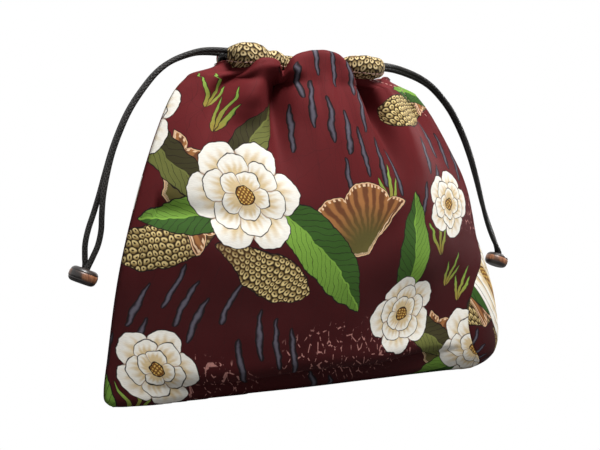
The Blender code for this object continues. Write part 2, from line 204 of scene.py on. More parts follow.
def thick_sheet(name, points, cloth_places, thickness, materials, closed_across=False):
    """Cloth with its inner layer at the points and its outer layer one thickness outside them. The materials
    are those of the printed face and of the reverse."""
    rows, columns = points.shape[:2]
    outer = points + grid_normals(points, closed_across) * thickness
    count = rows * columns
    faces = grid_faces(rows, columns, closed_across, 0, False)
    faces += grid_faces(rows, columns, closed_across, count, True)
    wrap = columns if closed_across else columns - 1
    for i in range(wrap):
        k = (i + 1) % columns
        top = (rows - 1) * columns
        faces.append((k, i, count + i, count + k))
        faces.append((top + i, top + k, count + top + k, count + top + i))
    if not closed_across:
        for j in range(rows - 1):
            low, high = j * columns, (j + 1) * columns
            faces.append((low, high, count + high, count + low))
            faces.append((high + columns - 1, low + columns - 1, count + low + columns - 1,
                          count + high + columns - 1))
    both = np.concatenate([outer.reshape(-1, 3), points.reshape(-1, 3)])
    places = np.concatenate([cloth_places.reshape(-1, 2)] * 2)
    sheet = mesh_object(name, both, faces, places, materials[0])
    sheet.data.materials.append(materials[1])
    side_count = (rows - 1) * wrap
    reverse = np.zeros(len(faces), dtype=np.int32)
    reverse[side_count:2 * side_count] = 1
    sheet.data.polygons.foreach_set("material_index", reverse)
    return sheet


def tube(name, path, radius, sides, material):
    """A round tube along a path, closed at both ends, with its length and turn as its UV map."""
    path = np.asarray(path)
    tangents = np.gradient(path, axis=0)
    tangents /= np.linalg.norm(tangents, axis=1, keepdims=True)
    side = np.cross(tangents[0], (0.0, 1.0, 0.2))
    side /= np.linalg.norm(side)
    steps = np.linalg.norm(np.diff(path, axis=0), axis=1)
    lengths = np.concatenate([[0.0], np.cumsum(steps)])
    points, places = [], []
    for k, (centre, along) in enumerate(zip(path, tangents)):
        side = side - along * np.dot(side, along)
        side /= np.linalg.norm(side)
        other = np.cross(along, side)
        for i in range(sides):
            turn = 2 * math.pi * i / sides
            points.append(centre + radius * (math.cos(turn) * side + math.sin(turn) * other))
            places.append((i / sides, lengths[k]))
    faces = grid_faces(len(path), sides, True, 0, False)
    faces.append(tuple(range(sides))[::-1])
    faces.append(tuple(range(len(points) - sides, len(points))))
    return mesh_object(name, points, faces, places, material)


print("mesh helpers ready")

# %% [markdown]
# ## Node helpers
# Every finish below is a small net of nodes. These short helpers add one node and return its result, so a
# material reads like the formula that it is.

# %% Node helpers


class Net:
    """Adds nodes to a tree. A number, a colour or another node's result can be given to any input."""

    def __init__(self, tree):
        self.tree = tree

    def node(self, kind, **settings):
        node = self.tree.nodes.new(kind)
        for key, value in settings.items():
            setattr(node, key, value)
        return node

    def feed(self, socket, value):
        if isinstance(value, bpy.types.NodeSocket):
            self.tree.links.new(value, socket)
        elif value is not None:
            socket.default_value = value

    def math(self, operation, first, second=None, third=None, clamp=False):
        node = self.node("ShaderNodeMath", operation=operation, use_clamp=clamp)
        for socket, value in zip(node.inputs, (first, second, third)):
            self.feed(socket, value)
        return node.outputs[0]

    def vector(self, operation, first, second=None, scale=None):
        node = self.node("ShaderNodeVectorMath", operation=operation)
        self.feed(node.inputs[0], first)
        self.feed(node.inputs[1], second)
        if scale is not None:
            self.feed(node.inputs["Scale"], scale)
        return node.outputs["Value" if operation in ("LENGTH", "DOT_PRODUCT") else "Vector"]

    def parts(self, vector):
        node = self.node("ShaderNodeSeparateXYZ")
        self.feed(node.inputs[0], vector)
        return node.outputs

    def join(self, x, y, z=0.0):
        node = self.node("ShaderNodeCombineXYZ")
        for socket, value in zip(node.inputs, (x, y, z)):
            self.feed(socket, value)
        return node.outputs[0]

    def ramp(self, value, low, high, first=0.0, last=1.0):
        """A smooth rise from first to last while the value goes from low to high."""
        node = self.node("ShaderNodeMapRange", interpolation_type="SMOOTHSTEP")
        for socket, given in zip(node.inputs, (value, low, high, first, last)):
            self.feed(socket, given)
        return node.outputs[0]

    def colour(self, share, first, last):
        node = self.node("ShaderNodeMix", data_type="RGBA")
        self.feed(node.inputs[0], share)
        self.feed(node.inputs[6], (*first, 1.0) if isinstance(first, tuple) else first)
        self.feed(node.inputs[7], (*last, 1.0) if isinstance(last, tuple) else last)
        return node.outputs[2]

    def noise(self, vector, scale, detail=2.0, roughness=0.5):
        node = self.node("ShaderNodeTexNoise")
        self.feed(node.inputs["Vector"], vector)
        node.inputs["Scale"].default_value = scale
        node.inputs["Detail"].default_value = detail
        node.inputs["Roughness"].default_value = roughness
        return node.outputs["Fac"]

    def bump(self, height, distance, strength=1.0, normal=None):
        node = self.node("ShaderNodeBump")
        node.inputs["Distance"].default_value = distance
        node.inputs["Strength"].default_value = strength
        self.feed(node.inputs["Height"], height)
        self.feed(node.inputs["Normal"], normal)
        return node.outputs[0]

    def band(self, value, middle, half_width, soft):
        """1 within half_width of the middle, with soft edges."""
        distance = self.math("ABSOLUTE", self.math("SUBTRACT", value, middle))
        edge = self.math("ADD", half_width, soft)
        return self.ramp(distance, edge, half_width)


def new_material(name):
    material = bpy.data.materials.new(name)
    material.use_nodes = True
    net = Net(material.node_tree)
    shader = material.node_tree.nodes["Principled BSDF"]
    return material, net, shader


print("node helpers ready")

# %% [markdown]
# ## Waxed cord
# The cords are round braided cotton, waxed almost black. Wax fills the braid, so it catches a soft long
# highlight, and only a faint herringbone of strands shows.

# %% Cord material
CORD_DIAMETER = 3.0 * MM


def make_cord_material():
    material, net, shader = new_material("waxed_cord")
    uv = net.node("ShaderNodeUVMap", uv_map="cloth").outputs[0]
    turn, length, _ = net.parts(uv)
    strands = net.math("MULTIPLY", turn, 6 * math.tau)
    lay = net.math("MULTIPLY", length, math.tau / (2.6 * MM))
    one = net.math("SINE", net.math("ADD", lay, strands))
    other = net.math("SINE", net.math("SUBTRACT", lay, strands))
    braid = net.math("MAXIMUM", one, other)
    tone_patches = net.noise(net.node("ShaderNodeTexCoord").outputs["Object"], 90.0, 3.0)
    base = net.colour(net.ramp(tone_patches, 0.35, 0.7), (0.011, 0.010, 0.009), (0.032, 0.029, 0.027))
    base = net.colour(net.ramp(braid, 0.9, -0.4, 0.0, 0.55), base, (0.003, 0.003, 0.003))
    net.feed(shader.inputs["Base Color"], base)
    net.feed(shader.inputs["Roughness"], net.ramp(tone_patches, 0.3, 0.8, 0.36, 0.58))
    net.feed(shader.inputs["Normal"], net.bump(braid, 0.25 * MM, 0.6))
    shader.inputs["Specular IOR Level"].default_value = 0.22
    return material


CORD_MATERIAL = make_cord_material()
print("material", CORD_MATERIAL.name)

# %% [markdown]
# ## The pattern of the pouch
# The same few tables shape the solids and the fine cloth: side outlines, depths, folds and the path of the
# gathered top. They are written in a plan whose X runs from the middle of the base, in metres. First come
# the two side outlines and how deep the bag is at each height, because they give the body its stuffed shape.

# %% Side outlines and depths
CLOTH = 1.2 * MM
SEAM_GAP = 0.3 * MM
NECK_HEIGHT = 0.1815
CASING_MIDDLE = 0.1895
CASING_DEPTH = 0.0100
CASING_CLOTH = 1.0 * MM
CASING_ENDS = (-0.0560, 0.0385)
NECK_ENDS = (-0.0620, 0.0520)
LEFT_EDGE = [
    (0.000, -0.1215), (0.004, -0.1240), (0.024, -0.1220), (0.067, -0.1160), (0.108, -0.1065),
    (0.135, -0.0985), (0.153, -0.0920), (0.164, -0.0870), (0.172, -0.0810), (0.178, -0.0730),
    (0.1815, -0.0620),
]
RIGHT_EDGE = [
    (0.000, 0.1200), (0.005, 0.1320), (0.016, 0.1375), (0.033, 0.1360), (0.050, 0.1325), (0.070, 0.1260),
    (0.086, 0.1200), (0.102, 0.1170), (0.121, 0.1110), (0.141, 0.0990), (0.161, 0.0850), (0.172, 0.0750),
    (0.178, 0.0660), (0.1815, 0.0520),
]
END_BULGE = [
    (0.000, 0.0160), (0.010, 0.0290), (0.033, 0.0320), (0.057, 0.0230), (0.075, 0.0110), (0.090, 0.0040),
    (0.120, 0.0020), (0.1815, 0.0016),
]
FRONT_DEPTH = [
    (0.000, 0.0160), (0.003, 0.0186), (0.0065, 0.0200), (0.010, 0.0210), (0.014, 0.0238), (0.022, 0.0270),
    (0.036, 0.0295), (0.055, 0.0315), (0.080, 0.0325), (0.105, 0.0305), (0.130, 0.0265), (0.150, 0.0220),
    (0.165, 0.0175), (0.1815, 0.0120),
]
BACK_DEPTH = [
    (0.000, 0.0170), (0.004, 0.0205), (0.012, 0.0240), (0.030, 0.0285), (0.060, 0.0315), (0.090, 0.0310),
    (0.120, 0.0285), (0.145, 0.0235), (0.165, 0.0175), (0.1815, 0.0120),
]
FRONT_SEAM_DEPTH = [
    (0.000, 0.0080), (0.010, 0.0130), (0.033, 0.0140), (0.057, 0.0110), (0.075, 0.0060), (0.090, 0.0024),
    (0.120, 0.0012), (0.1815, 0.0008),
]
BACK_SEAM_DEPTH = [
    (0.000, 0.0130), (0.010, 0.0200), (0.033, 0.0240), (0.057, 0.0200), (0.075, 0.0130), (0.090, 0.0070),
    (0.120, 0.0040), (0.1815, 0.0010),
]
END_TURN = [
    (0.000, math.radians(55)), (0.012, math.radians(85)), (0.040, math.radians(90)),
    (0.060, math.radians(75)), (0.078, math.radians(35)), (0.095, math.radians(8)),
]
print("body", round((RIGHT_EDGE[2][1] - LEFT_EDGE[1][1]) * 1000, 1), "mm wide at its foot")

# %% [markdown]
# ## Neck, folds and humps
# At the top the cloth is drawn together in waves, and long folds run down from them. On the front the slack
# cloth also humps up before the casing. Each fold and hump could be left to chance, but here every one has
# its own row in a table, so that it stands where the real one does.

# %% Neck, folds and humps
FRONT_NECK = [
    (-0.0620, -SEAM_GAP / 2), (-0.0560, -0.0062), (-0.0460, -0.0142), (-0.0360, -0.0128),
    (-0.0260, -0.0096), (-0.0140, -0.0098), (0.0000, -0.0098), (0.0120, -0.0094), (0.0230, -0.0138),
    (0.0330, -0.0134), (0.0430, -0.0064), (0.0520, -SEAM_GAP / 2),
]
BACK_NECK = [
    (-0.0620, SEAM_GAP / 2), (-0.0560, 0.0062), (-0.0420, 0.0142), (-0.0280, 0.0108), (-0.0130, 0.0146),
    (0.0030, 0.0110), (0.0180, 0.0144), (0.0310, 0.0110), (0.0430, 0.0064), (0.0520, SEAM_GAP / 2),
]
# Each long fold: its place across, half width, outward amount, and the height where it begins
FRONT_FOLDS = [
    (0.06, 0.030, 0.0020, 0.105), (0.125, 0.026, -0.0030, 0.120), (0.225, 0.050, 0.0100, 0.146),
    (0.328, 0.030, -0.0110, 0.105), (0.405, 0.035, 0.0026, 0.140), (0.50, 0.115, 0.0066, 0.105),
    (0.60, 0.035, 0.0026, 0.140), (0.683, 0.032, -0.0112, 0.105), (0.79, 0.050, 0.0060, 0.105),
    (0.90, 0.040, -0.0025, 0.105),
]
BACK_FOLDS = [
    (0.17, 0.050, 0.0040, 0.105), (0.30, 0.035, -0.0060, 0.105), (0.45, 0.060, 0.0050, 0.105),
    (0.59, 0.035, -0.0070, 0.105), (0.72, 0.050, 0.0050, 0.105), (0.83, 0.035, -0.0050, 0.105),
]
# The front cloth humps up before the casing. Along X: its height over the neck and how far it is rolled out.
HUMP_RISE = [
    (-0.0620, 0.0000), (-0.0560, 0.0001), (-0.0530, 0.0008), (-0.0470, 0.0030), (-0.0420, 0.0038),
    (-0.0370, 0.0036), (-0.0320, 0.0022), (-0.0285, 0.0006), (-0.0262, 0.0020), (-0.0240, 0.0056),
    (-0.0205, 0.0080), (-0.0150, 0.0095), (-0.0100, 0.0103), (0.0000, 0.0106), (0.0050, 0.0096),
    (0.0090, 0.0074), (0.0120, 0.0048), (0.0150, 0.0020), (0.0180, 0.0002), (0.0520, 0.0000),
]
HUMP_OUT = [
    (-0.0620, 0.00), (-0.0550, 0.02), (-0.0500, 0.35), (-0.0450, 0.90), (-0.0420, 1.00), (-0.0340, 1.00),
    (-0.0290, 0.50), (-0.0262, 0.60), (-0.0235, 1.00), (0.0110, 1.00), (0.0150, 0.45), (0.0190, 0.00),
    (0.0520, 0.00),
]
# Section of a hump from its foot over its top to its rear, as shares of its depth and of its height
HUMP_PATH = [(1.08, -0.10), (0.98, 0.46), (0.82, 0.84), (0.44, 1.00), (0.08, 0.66), (0.00, -0.06)]
HUMP_REAR = [(-0.0620, -0.0178), (-0.0360, -0.0178), (-0.0270, -0.0164), (0.0520, -0.0160)]
HUMP_END = (0.00, -0.15)
HUMP_DEPTH = 0.0044
HUMP_FULL = 0.0030
# The gathered edge of both panels climbs a little past each end of the casings
EDGE_RISE = [
    (-0.0620, 0.0034), (-0.0600, 0.0044), (-0.0580, 0.0048), (-0.0566, 0.0036), (-0.0556, 0.0010),
    (-0.0545, 0.0000), (0.0388, 0.0000), (0.0405, 0.0012), (0.0430, 0.0030), (0.0460, 0.0042),
    (0.0490, 0.0044), (0.0520, 0.0036),
]
# Broad hollows and swells of the slack front: X, Z, half length, half width, tilt in degrees, amount
FRONT_SLACK = [
    (-0.1000, 0.1035, 0.0240, 0.0062, -5, -0.0034), (-0.0600, 0.0995, 0.0300, 0.0075, -5, -0.0015),
    (-0.0960, 0.0850, 0.0280, 0.0110, 0, 0.0018), (-0.0600, 0.0500, 0.0420, 0.0180, 0, -0.0016),
    (0.0300, 0.0900, 0.0300, 0.0100, 25, -0.0016), (0.0600, 0.0700, 0.0300, 0.0160, 0, 0.0012),
]
print("folds:", len(FRONT_FOLDS), "front,", len(BACK_FOLDS), "back")

# %% [markdown]
# ## Heights and smooth tables
# A panel is drawn at these heights, and more closely near the foot and the neck, where its outline bends
# most. Each table is read once into a quick curve, because the cloth asks for its values thousands of times.

# %% Heights and smooth tables
BASE_SHARES = (0.0, 0.45, 0.88)
WALL_HEIGHTS = (
    0.0030, 0.0075, 0.0125, 0.0170, 0.0225, 0.0310, 0.0420, 0.0550, 0.0700, 0.0850, 0.1000, 0.1140,
    0.1265, 0.1380, 0.1480, 0.1565, 0.1635, 0.1690, 0.1740,
)
BASE_SEAM_END = (0.1070, -0.0050)
BACK_MAIN_SHARE = 26 / 35
CORNER_RISE = 0.0006


def curve_through(table):
    """The table's smooth curve as a quick function of arrays."""
    places = np.linspace(table[0][0], table[-1][0], 800)
    values = np.array([smooth_value(table, place) for place in places])
    return lambda place: np.interp(place, places, values)


left_edge, right_edge = curve_through(LEFT_EDGE), curve_through(RIGHT_EDGE)
end_bulge, end_turn = curve_through(END_BULGE), curve_through(END_TURN)
front_depth, back_depth = curve_through(FRONT_DEPTH), curve_through(BACK_DEPTH)
front_seam_depth, back_seam_depth = curve_through(FRONT_SEAM_DEPTH), curve_through(BACK_SEAM_DEPTH)
front_neck, back_neck = curve_through(FRONT_NECK), curve_through(BACK_NECK)
hump_rise, hump_out, hump_rear = curve_through(HUMP_RISE), curve_through(HUMP_OUT), curve_through(HUMP_REAR)
edge_rise = curve_through(EDGE_RISE)
print("wall heights:", len(WALL_HEIGHTS))

# %% [markdown]
# ## Cords
# There are two cords. Each comes up one tail, runs through both casings and goes back down its other tail,
# so one pair of tails hangs on each side. The cord is stiff with wax: it leaves the casing level, bends over
# in one long arc and hangs down into its bead.
#
# The whole route is read smoothly, then cut where it leaves the casing. The free tails become tubes of their
# own, and the run inside the tunnels stays a plain piece.

# %% Cord routes
LEFT_FRONT_TAIL = [
    (-0.0680, -0.0040, 0.1912), (-0.0770, -0.0028, 0.1890), (-0.0880, -0.0020, 0.1838),
    (-0.0965, -0.0018, 0.1768), (-0.1045, -0.0018, 0.1665), (-0.1110, -0.0018, 0.1560),
    (-0.1160, -0.0018, 0.1450), (-0.1200, -0.0018, 0.1340), (-0.1228, -0.0018, 0.1230),
    (-0.1250, -0.0018, 0.1110), (-0.1258, -0.0018, 0.1010), (-0.1262, -0.0018, 0.0930),
    (-0.1278, -0.0018, 0.0855), (-0.1306, -0.0017, 0.0790), (-0.1328, -0.0017, 0.0745),
    (-0.1351, -0.0017, 0.0692),
]
LEFT_BACK_TAIL = [
    (-0.0680, 0.0040, 0.1912), (-0.0770, 0.0028, 0.1890), (-0.0880, 0.0020, 0.1838),
    (-0.0965, 0.0018, 0.1768), (-0.1045, 0.0018, 0.1665), (-0.1110, 0.0018, 0.1560),
    (-0.1160, 0.0018, 0.1450), (-0.1200, 0.0018, 0.1340), (-0.1232, 0.0018, 0.1230),
    (-0.1262, 0.0018, 0.1120), (-0.1292, 0.0018, 0.1020), (-0.1320, 0.0018, 0.0935),
    (-0.1336, 0.0018, 0.0860), (-0.1338, 0.0017, 0.0795), (-0.1338, 0.0017, 0.0745),
    (-0.1356, 0.0017, 0.0692),
]
RIGHT_FRONT_TAIL = [
    (0.0550, -0.0040, 0.1922), (0.0710, -0.0026, 0.1890), (0.0830, -0.0019, 0.1840),
    (0.0920, -0.0018, 0.1770), (0.1010, -0.0018, 0.1675), (0.1095, -0.0018, 0.1540),
    (0.1160, -0.0018, 0.1400), (0.1212, -0.0018, 0.1250), (0.1258, -0.0018, 0.1090),
    (0.1300, -0.0018, 0.0960), (0.1345, -0.0018, 0.0860), (0.1388, -0.0017, 0.0790),
    (0.1410, -0.0017, 0.0745), (0.1398, -0.0017, 0.0697),
]
RIGHT_BACK_TAIL = [
    (0.0550, 0.0040, 0.1922), (0.0710, 0.0026, 0.1890), (0.0835, 0.0019, 0.1840),
    (0.0930, 0.0018, 0.1770), (0.1020, 0.0018, 0.1675), (0.1107, 0.0018, 0.1540),
    (0.1175, 0.0018, 0.1400), (0.1232, 0.0018, 0.1250), (0.1286, 0.0018, 0.1090),
    (0.1334, 0.0018, 0.0970), (0.1380, 0.0018, 0.0870), (0.1408, 0.0017, 0.0800),
    (0.1418, 0.0017, 0.0745), (0.1402, 0.0017, 0.0697),
]
TUNNEL_OFFSET = (0.0018, 0.0024)
TUNNEL_TURN_START = math.radians(62)
TUNNEL_PINCH = 0.36
TUNNEL_DIP = 0.0027
TURN_SQUASH = 0.28
TURN_RISE = 0.0022
CORD_STEP = 0.8 * MM


def casing_station(neck, x):
    """A casing's Y and its unit direction in plan, at one X."""
    small = 0.2 * MM
    rise = float(neck(x + small) - neck(x - small))
    length = math.hypot(2 * small, rise)
    return float(neck(x)), 2 * small / length, rise / length


def tunnel_run(neck, outward, turn_sign):
    """Points of a cord inside one casing. The cords change places on their way and lie low in the middle."""
    points = []
    for x in np.linspace(*CASING_ENDS, 14):
        y, along_x, along_y = casing_station(neck, x)
        part = (x - CASING_ENDS[0]) / (CASING_ENDS[1] - CASING_ENDS[0])
        turn = TUNNEL_TURN_START + math.pi * part
        pinch = smooth_step(0.0, 0.15, part) * (1 - smooth_step(0.85, 1.0, part))
        shift = -outward * turn_sign * TUNNEL_OFFSET[0] * math.cos(turn)
        up = turn_sign * TUNNEL_OFFSET[1] * math.sin(turn) * (1 - TUNNEL_PINCH * pinch) - TUNNEL_DIP * pinch
        points.append((x - along_y * shift, y + along_x * shift, CASING_MIDDLE + up))
    return points


def turn_round(first, last, side):
    """Points where a cord turns from one casing into the other, past their ends."""
    radius = (last[1] - first[1]) / 2
    middle = blend(first, last, 0.5)
    return [
        (middle[0] + side * TURN_SQUASH * radius * math.sin(turn), middle[1] - radius * math.cos(turn),
         middle[2] + TURN_RISE * math.sin(turn))
        for turn in (math.pi * i / 6 for i in range(1, 6))
    ]


def make_cord(name, front_tail, back_tail, turn_sign):
    """A cord as three tubes: its two free tails, and the run that the casings hide."""
    front = tunnel_run(front_neck, -1, turn_sign)[::turn_sign]
    back = tunnel_run(back_neck, 1, turn_sign)[::turn_sign]
    held = front + turn_round(front[-1], back[-1], turn_sign) + back[::-1]
    route = front_tail[::-1] + held + back_tail
    rough = np.array(route)
    count = int(np.linalg.norm(np.diff(rough, axis=0), axis=1).sum() / CORD_STEP)
    path = read_smooth(route, count) + np.array(PLAN_SHIFT)
    exit_x = CASING_ENDS[0 if turn_sign > 0 else 1] + PLAN_SHIFT.x
    free = path[:, 0] * turn_sign < exit_x * turn_sign
    first = int(np.argmin(free))
    last = len(path) - int(np.argmin(free[::-1]))
    front_path, back_path = path[:first + 1][::-1], path[last - 1:]
    tails = []
    for part, run in (("front", front_path), ("back", back_path)):
        cord = tube(f"{name}_{part}_tail", run, CORD_DIAMETER / 2, 18, CORD_MATERIAL)
        tails.append((cord, run))
    hidden = tube(f"{name}_in_casing", path[first:last], CORD_DIAMETER / 2, 12, CORD_MATERIAL)
    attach(hidden, "root")
    return tails, hidden


LEFT_TAILS, LEFT_HIDDEN = make_cord("left_cord", LEFT_FRONT_TAIL, LEFT_BACK_TAIL, 1)
RIGHT_TAILS, RIGHT_HIDDEN = make_cord("right_cord", RIGHT_FRONT_TAIL, RIGHT_BACK_TAIL, -1)
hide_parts("left_cord")
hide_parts("right_cord")

# %% [markdown]
# ## Wooden beads
# Each pair of tails ends in a small turned bead. It has a recess in its top for the knot. The rims are dark,
# almost black, and a band round the middle is tan.

# %% Wood
BEAD_TILT = math.radians(22)
BEAD_PLACES = {"left_stopper": (-0.1350, 0.0, 0.0695), "right_stopper": (0.1400, 0.0, 0.0700)}
# Radius and height of the turned outline, from the floor of the recess to the middle of the underside
BEAD_PROFILE = [
    (0.00005, -0.0016), (0.0020, -0.0016), (0.0036, -0.0015), (0.0040, -0.0010), (0.0040, 0.0010),
    (0.0040, 0.0034), (0.0042, 0.0038), (0.0047, 0.0040), (0.0053, 0.0039), (0.0060, 0.0036),
    (0.0066, 0.0031), (0.0070, 0.0025), (0.0072, 0.0021), (0.00705, 0.00185), (0.0073, 0.0016),
    (0.0075, 0.0008), (0.0075, -0.0008), (0.0073, -0.0016), (0.00705, -0.00185), (0.0072, -0.0021),
    (0.0070, -0.0025), (0.0066, -0.0031), (0.0060, -0.0036), (0.0052, -0.0039), (0.0040, -0.0040),
    (0.0020, -0.0040), (0.00005, -0.0040),
]


def linear(red, green, blue):
    """A colour as seen on a screen, 0 to 255, turned into the light values that a shader takes."""
    return tuple(((c / 255 + 0.055) / 1.055) ** 2.4 if c > 10 else c / 3294.6 for c in (red, green, blue))


def make_wood():
    material, net, shader = new_material("dark_wood")
    uv = net.node("ShaderNodeUVMap", uv_map="cloth").outputs[0]
    down = net.parts(uv)[1]
    place = net.node("ShaderNodeTexCoord").outputs["Object"]
    stretched = net.vector("MULTIPLY", place, (700.0, 700.0, 160.0))
    grain = net.noise(stretched, 1.0, 4.0, 0.6)
    rings = net.noise(net.vector("MULTIPLY", place, (90.0, 90.0, 30.0)), 1.0, 2.0)
    tan = net.colour(net.ramp(grain, 0.38, 0.66), linear(112, 66, 40), linear(178, 121, 82))
    dark_rims = net.colour(net.ramp(rings, 0.35, 0.7), linear(22, 14, 11), linear(50, 33, 25))
    # A tan band round the middle, broken up by the ring noise. The rest of the bead, rims included, stays
    # dark.
    middle = net.band(down, 0.0, 1.5 * MM, 0.5 * MM)
    tone_patches = net.math("MULTIPLY", middle, net.ramp(rings, 0.30, 0.52))
    net.feed(shader.inputs["Base Color"], net.colour(tone_patches, dark_rims, tan))
    net.feed(shader.inputs["Roughness"], net.ramp(grain, 0.3, 0.7, 0.34, 0.52))
    net.feed(shader.inputs["Normal"], net.bump(grain, 0.10 * MM, 0.5))
    shader.inputs["Coat Weight"].default_value = 0.25
    shader.inputs["Coat Roughness"].default_value = 0.3
    return material


WOOD = make_wood()
print("material", WOOD.name)

# %% [markdown]
# ## Turned outline
# A bead is turned, so one outline swept round an axis gives all of it. The beads hang a little aslant,
# because the two knotted tails pull them to one side. Each tail is then attached to the root, as the beads
# are.

# %% Beads and their cords


def make_bead(name, place):
    """A turned bead at its place. Its UV map holds the turn and the height on the bead."""
    sides = 56
    tilt = Matrix.Rotation(BEAD_TILT, 4, "Y")
    centre = Vector(place) + PLAN_SHIFT
    points, places = [], []
    for radius, height in BEAD_PROFILE:
        for i in range(sides):
            turn = math.tau * i / sides
            spot = Vector((radius * math.cos(turn), radius * math.sin(turn), height))
            points.append(centre + tilt @ spot)
            places.append((i / sides, height))
    faces = grid_faces(len(BEAD_PROFILE), sides, True, 0, True)
    faces.append(tuple(range(sides)))
    faces.append(tuple(range(len(points) - sides, len(points)))[::-1])
    bead = mesh_object(f"{name}_turned", points, faces, places, WOOD)
    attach(bead, "root")
    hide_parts(name)
    return bead


LEFT_BEAD = make_bead("left_stopper", BEAD_PLACES["left_stopper"])
RIGHT_BEAD = make_bead("right_stopper", BEAD_PLACES["right_stopper"])
for tails, bead in ((LEFT_TAILS, LEFT_BEAD), (RIGHT_TAILS, RIGHT_BEAD)):
    for cord, run in tails:
        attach(cord, "root")

# %% [markdown]
# ## Printed cotton
# The print is drawn by formulas in millimetres on the flat cloth, so it follows every fold. Each motif has
# its place in a half-drop repeat. Its outline is a distance formula, its inside has shading and veins, and a
# thin dark line rims it, as a screen print has.

# %% Repeat, colours and outlines
REPEAT = (178.0, 196.0)
RING_PITCH = 3.6
INK = linear(26, 16, 17)
BURGUNDY, DEEP_BURGUNDY = linear(101, 29, 32), linear(90, 24, 27)
GREEN, DEEP_GREEN = linear(118, 158, 62), linear(52, 84, 32)
OLIVE, DEEP_OLIVE = linear(112, 116, 60), linear(58, 54, 30)
GRASS, GRASS_ROOT = linear(128, 166, 70), linear(152, 132, 60)
SLATE, PALE_SLATE = linear(52, 44, 54), linear(92, 88, 98)
TWIG = linear(188, 132, 124)
PETAL, PETAL_HEART, PETAL_GAP = linear(240, 236, 226), linear(214, 190, 146), linear(150, 112, 72)
STAMEN_GOLD, STAMEN_BROWN = linear(214, 176, 92), linear(120, 78, 36)
CONE_RINGS = linear(222, 200, 140), linear(128, 104, 58), linear(38, 27, 18)
CONE_TIP = linear(92, 58, 36)
CASING_RINGS = linear(216, 194, 146), linear(118, 96, 56), linear(36, 26, 18)
FAN_RAYS, FAN_HEART = (linear(104, 62, 38), linear(158, 106, 62)), linear(92, 84, 44)
FAN_DOTS, FAN_RIM = linear(228, 196, 160), linear(222, 180, 140)
REVERSE_TONES = linear(92, 48, 48), linear(108, 62, 60)


def motif_place(net, cloth, centre, turn=0.0):
    """Coordinates in mm round the nearest copy of a motif, along and across it."""
    along = net.math("DIVIDE", net.math("SUBTRACT", cloth[0], centre[0]), REPEAT[0])
    column = net.math("ROUND", along)
    x = net.math("MULTIPLY", net.math("SUBTRACT", along, column), REPEAT[0])
    up = net.math("DIVIDE", net.math("SUBTRACT", cloth[1], centre[1]), REPEAT[1])
    up = net.math("MULTIPLY_ADD", column, 0.5, up)
    y = net.math("MULTIPLY", net.math("SUBTRACT", up, net.math("ROUND", up)), REPEAT[1])
    if turn:
        cos, sin = math.cos(math.radians(turn)), math.sin(math.radians(turn))
        turned = net.math("MULTIPLY_ADD", y, sin, net.math("MULTIPLY", x, cos))
        y = net.math("MULTIPLY_ADD", x, -sin, net.math("MULTIPLY", y, cos))
        x = turned
    return x, y


def centre_distance(net, x, y):
    """How far a place is from a motif's centre."""
    return net.math("SQRT", net.math("MULTIPLY_ADD", x, x, net.math("MULTIPLY", y, y)))


def leaf_depth(net, place, length, width, fullness=0.8):
    """Depth in mm inside a leaf outline that starts at the motif's centre."""
    part = net.math("DIVIDE", place[0], length, clamp=True)
    lean = net.math("POWER", part, 0.8)
    arch = net.math("SINE", net.math("MULTIPLY", lean, math.pi))
    outline = net.math("MULTIPLY", net.math("POWER", net.math("MAXIMUM", arch, 0.0), fullness), width)
    return net.math("SUBTRACT", outline, net.math("ABSOLUTE", place[1]))


def inked(net, base, depth, colour, line=0.45):
    """Lays a motif over the cloth: its colour inside, a dark line along its rim."""
    inside = net.colour(net.ramp(depth, line, line + 0.35), INK, colour)
    return net.colour(net.ramp(depth, -0.15, 0.15), base, inside)


def lined(net, value, spacing, width):
    """1 on thin lines that repeat every spacing mm of the value."""
    part = net.math("PINGPONG", value, spacing / 2)
    return net.ramp(part, width, width * 0.4)


print("repeat of the print", REPEAT, "mm")

# %% [markdown]
# ## Leaves, blades, grass and twigs
# A leaf is an arch mirrored about its rib, with a slight bend. The same arch made narrow gives the willow
# blades and the grass. The twigs are the borders between the cells of a random pattern, broken up by noise.

# %% Leaves, blades, grass and twigs


def draw_leaf(net, base, cloth, centre, turn, length, width, light, dark):
    """A leaf in two greens, one on each side of its rib, with inked veins."""
    place = motif_place(net, cloth, centre, turn)
    bend = net.math("MULTIPLY", net.math("MULTIPLY", place[0], place[0]), 0.0022)
    x, y = place[0], net.math("ADD", place[1], net.math("SUBTRACT", bend, 0.06 * length / 4))
    depth = leaf_depth(net, (x, y), length, width)
    side = net.ramp(y, -0.3, 0.3)
    colour = net.colour(side, light, dark)
    tip = net.ramp(x, length * 0.2, length)
    colour = net.colour(net.math("MULTIPLY", tip, 0.45), colour, dark)
    vein = lined(net, net.math("SUBTRACT", x, net.math("MULTIPLY", net.math("ABSOLUTE", y), 1.3)), 5.0, 0.35)
    colour = net.colour(net.math("MULTIPLY", vein, 0.75), colour, INK)
    rib = net.ramp(net.math("ABSOLUTE", y), 0.55, 0.3)
    colour = net.colour(rib, colour, light)
    return inked(net, base, depth, colour)


def draw_blades(net, base, cloth, centre, turn, count, pitch, length, width):
    """A loose row of narrow willow leaves side by side, each with a pale middle."""
    x, y = motif_place(net, cloth, centre, turn)
    cell = net.math("ROUND", net.math("DIVIDE", x, pitch))
    cell = net.math("MINIMUM", net.math("MAXIMUM", cell, -(count // 2)), (count - 1) // 2)
    lift = net.math("SINE", net.math("MULTIPLY", cell, 2.4))
    across = net.math("MULTIPLY_ADD", cell, -pitch, x)
    across = net.math("MULTIPLY_ADD", lift, 1.1, across)
    up = net.math("ADD", net.math("MULTIPLY_ADD", lift, length * 0.34, y), length / 2)
    depth = leaf_depth(net, (up, across), length, width, 0.32)
    colour = net.colour(net.ramp(depth, width * 0.35, width * 0.85), SLATE, PALE_SLATE)
    return inked(net, base, depth, colour, 0.6)


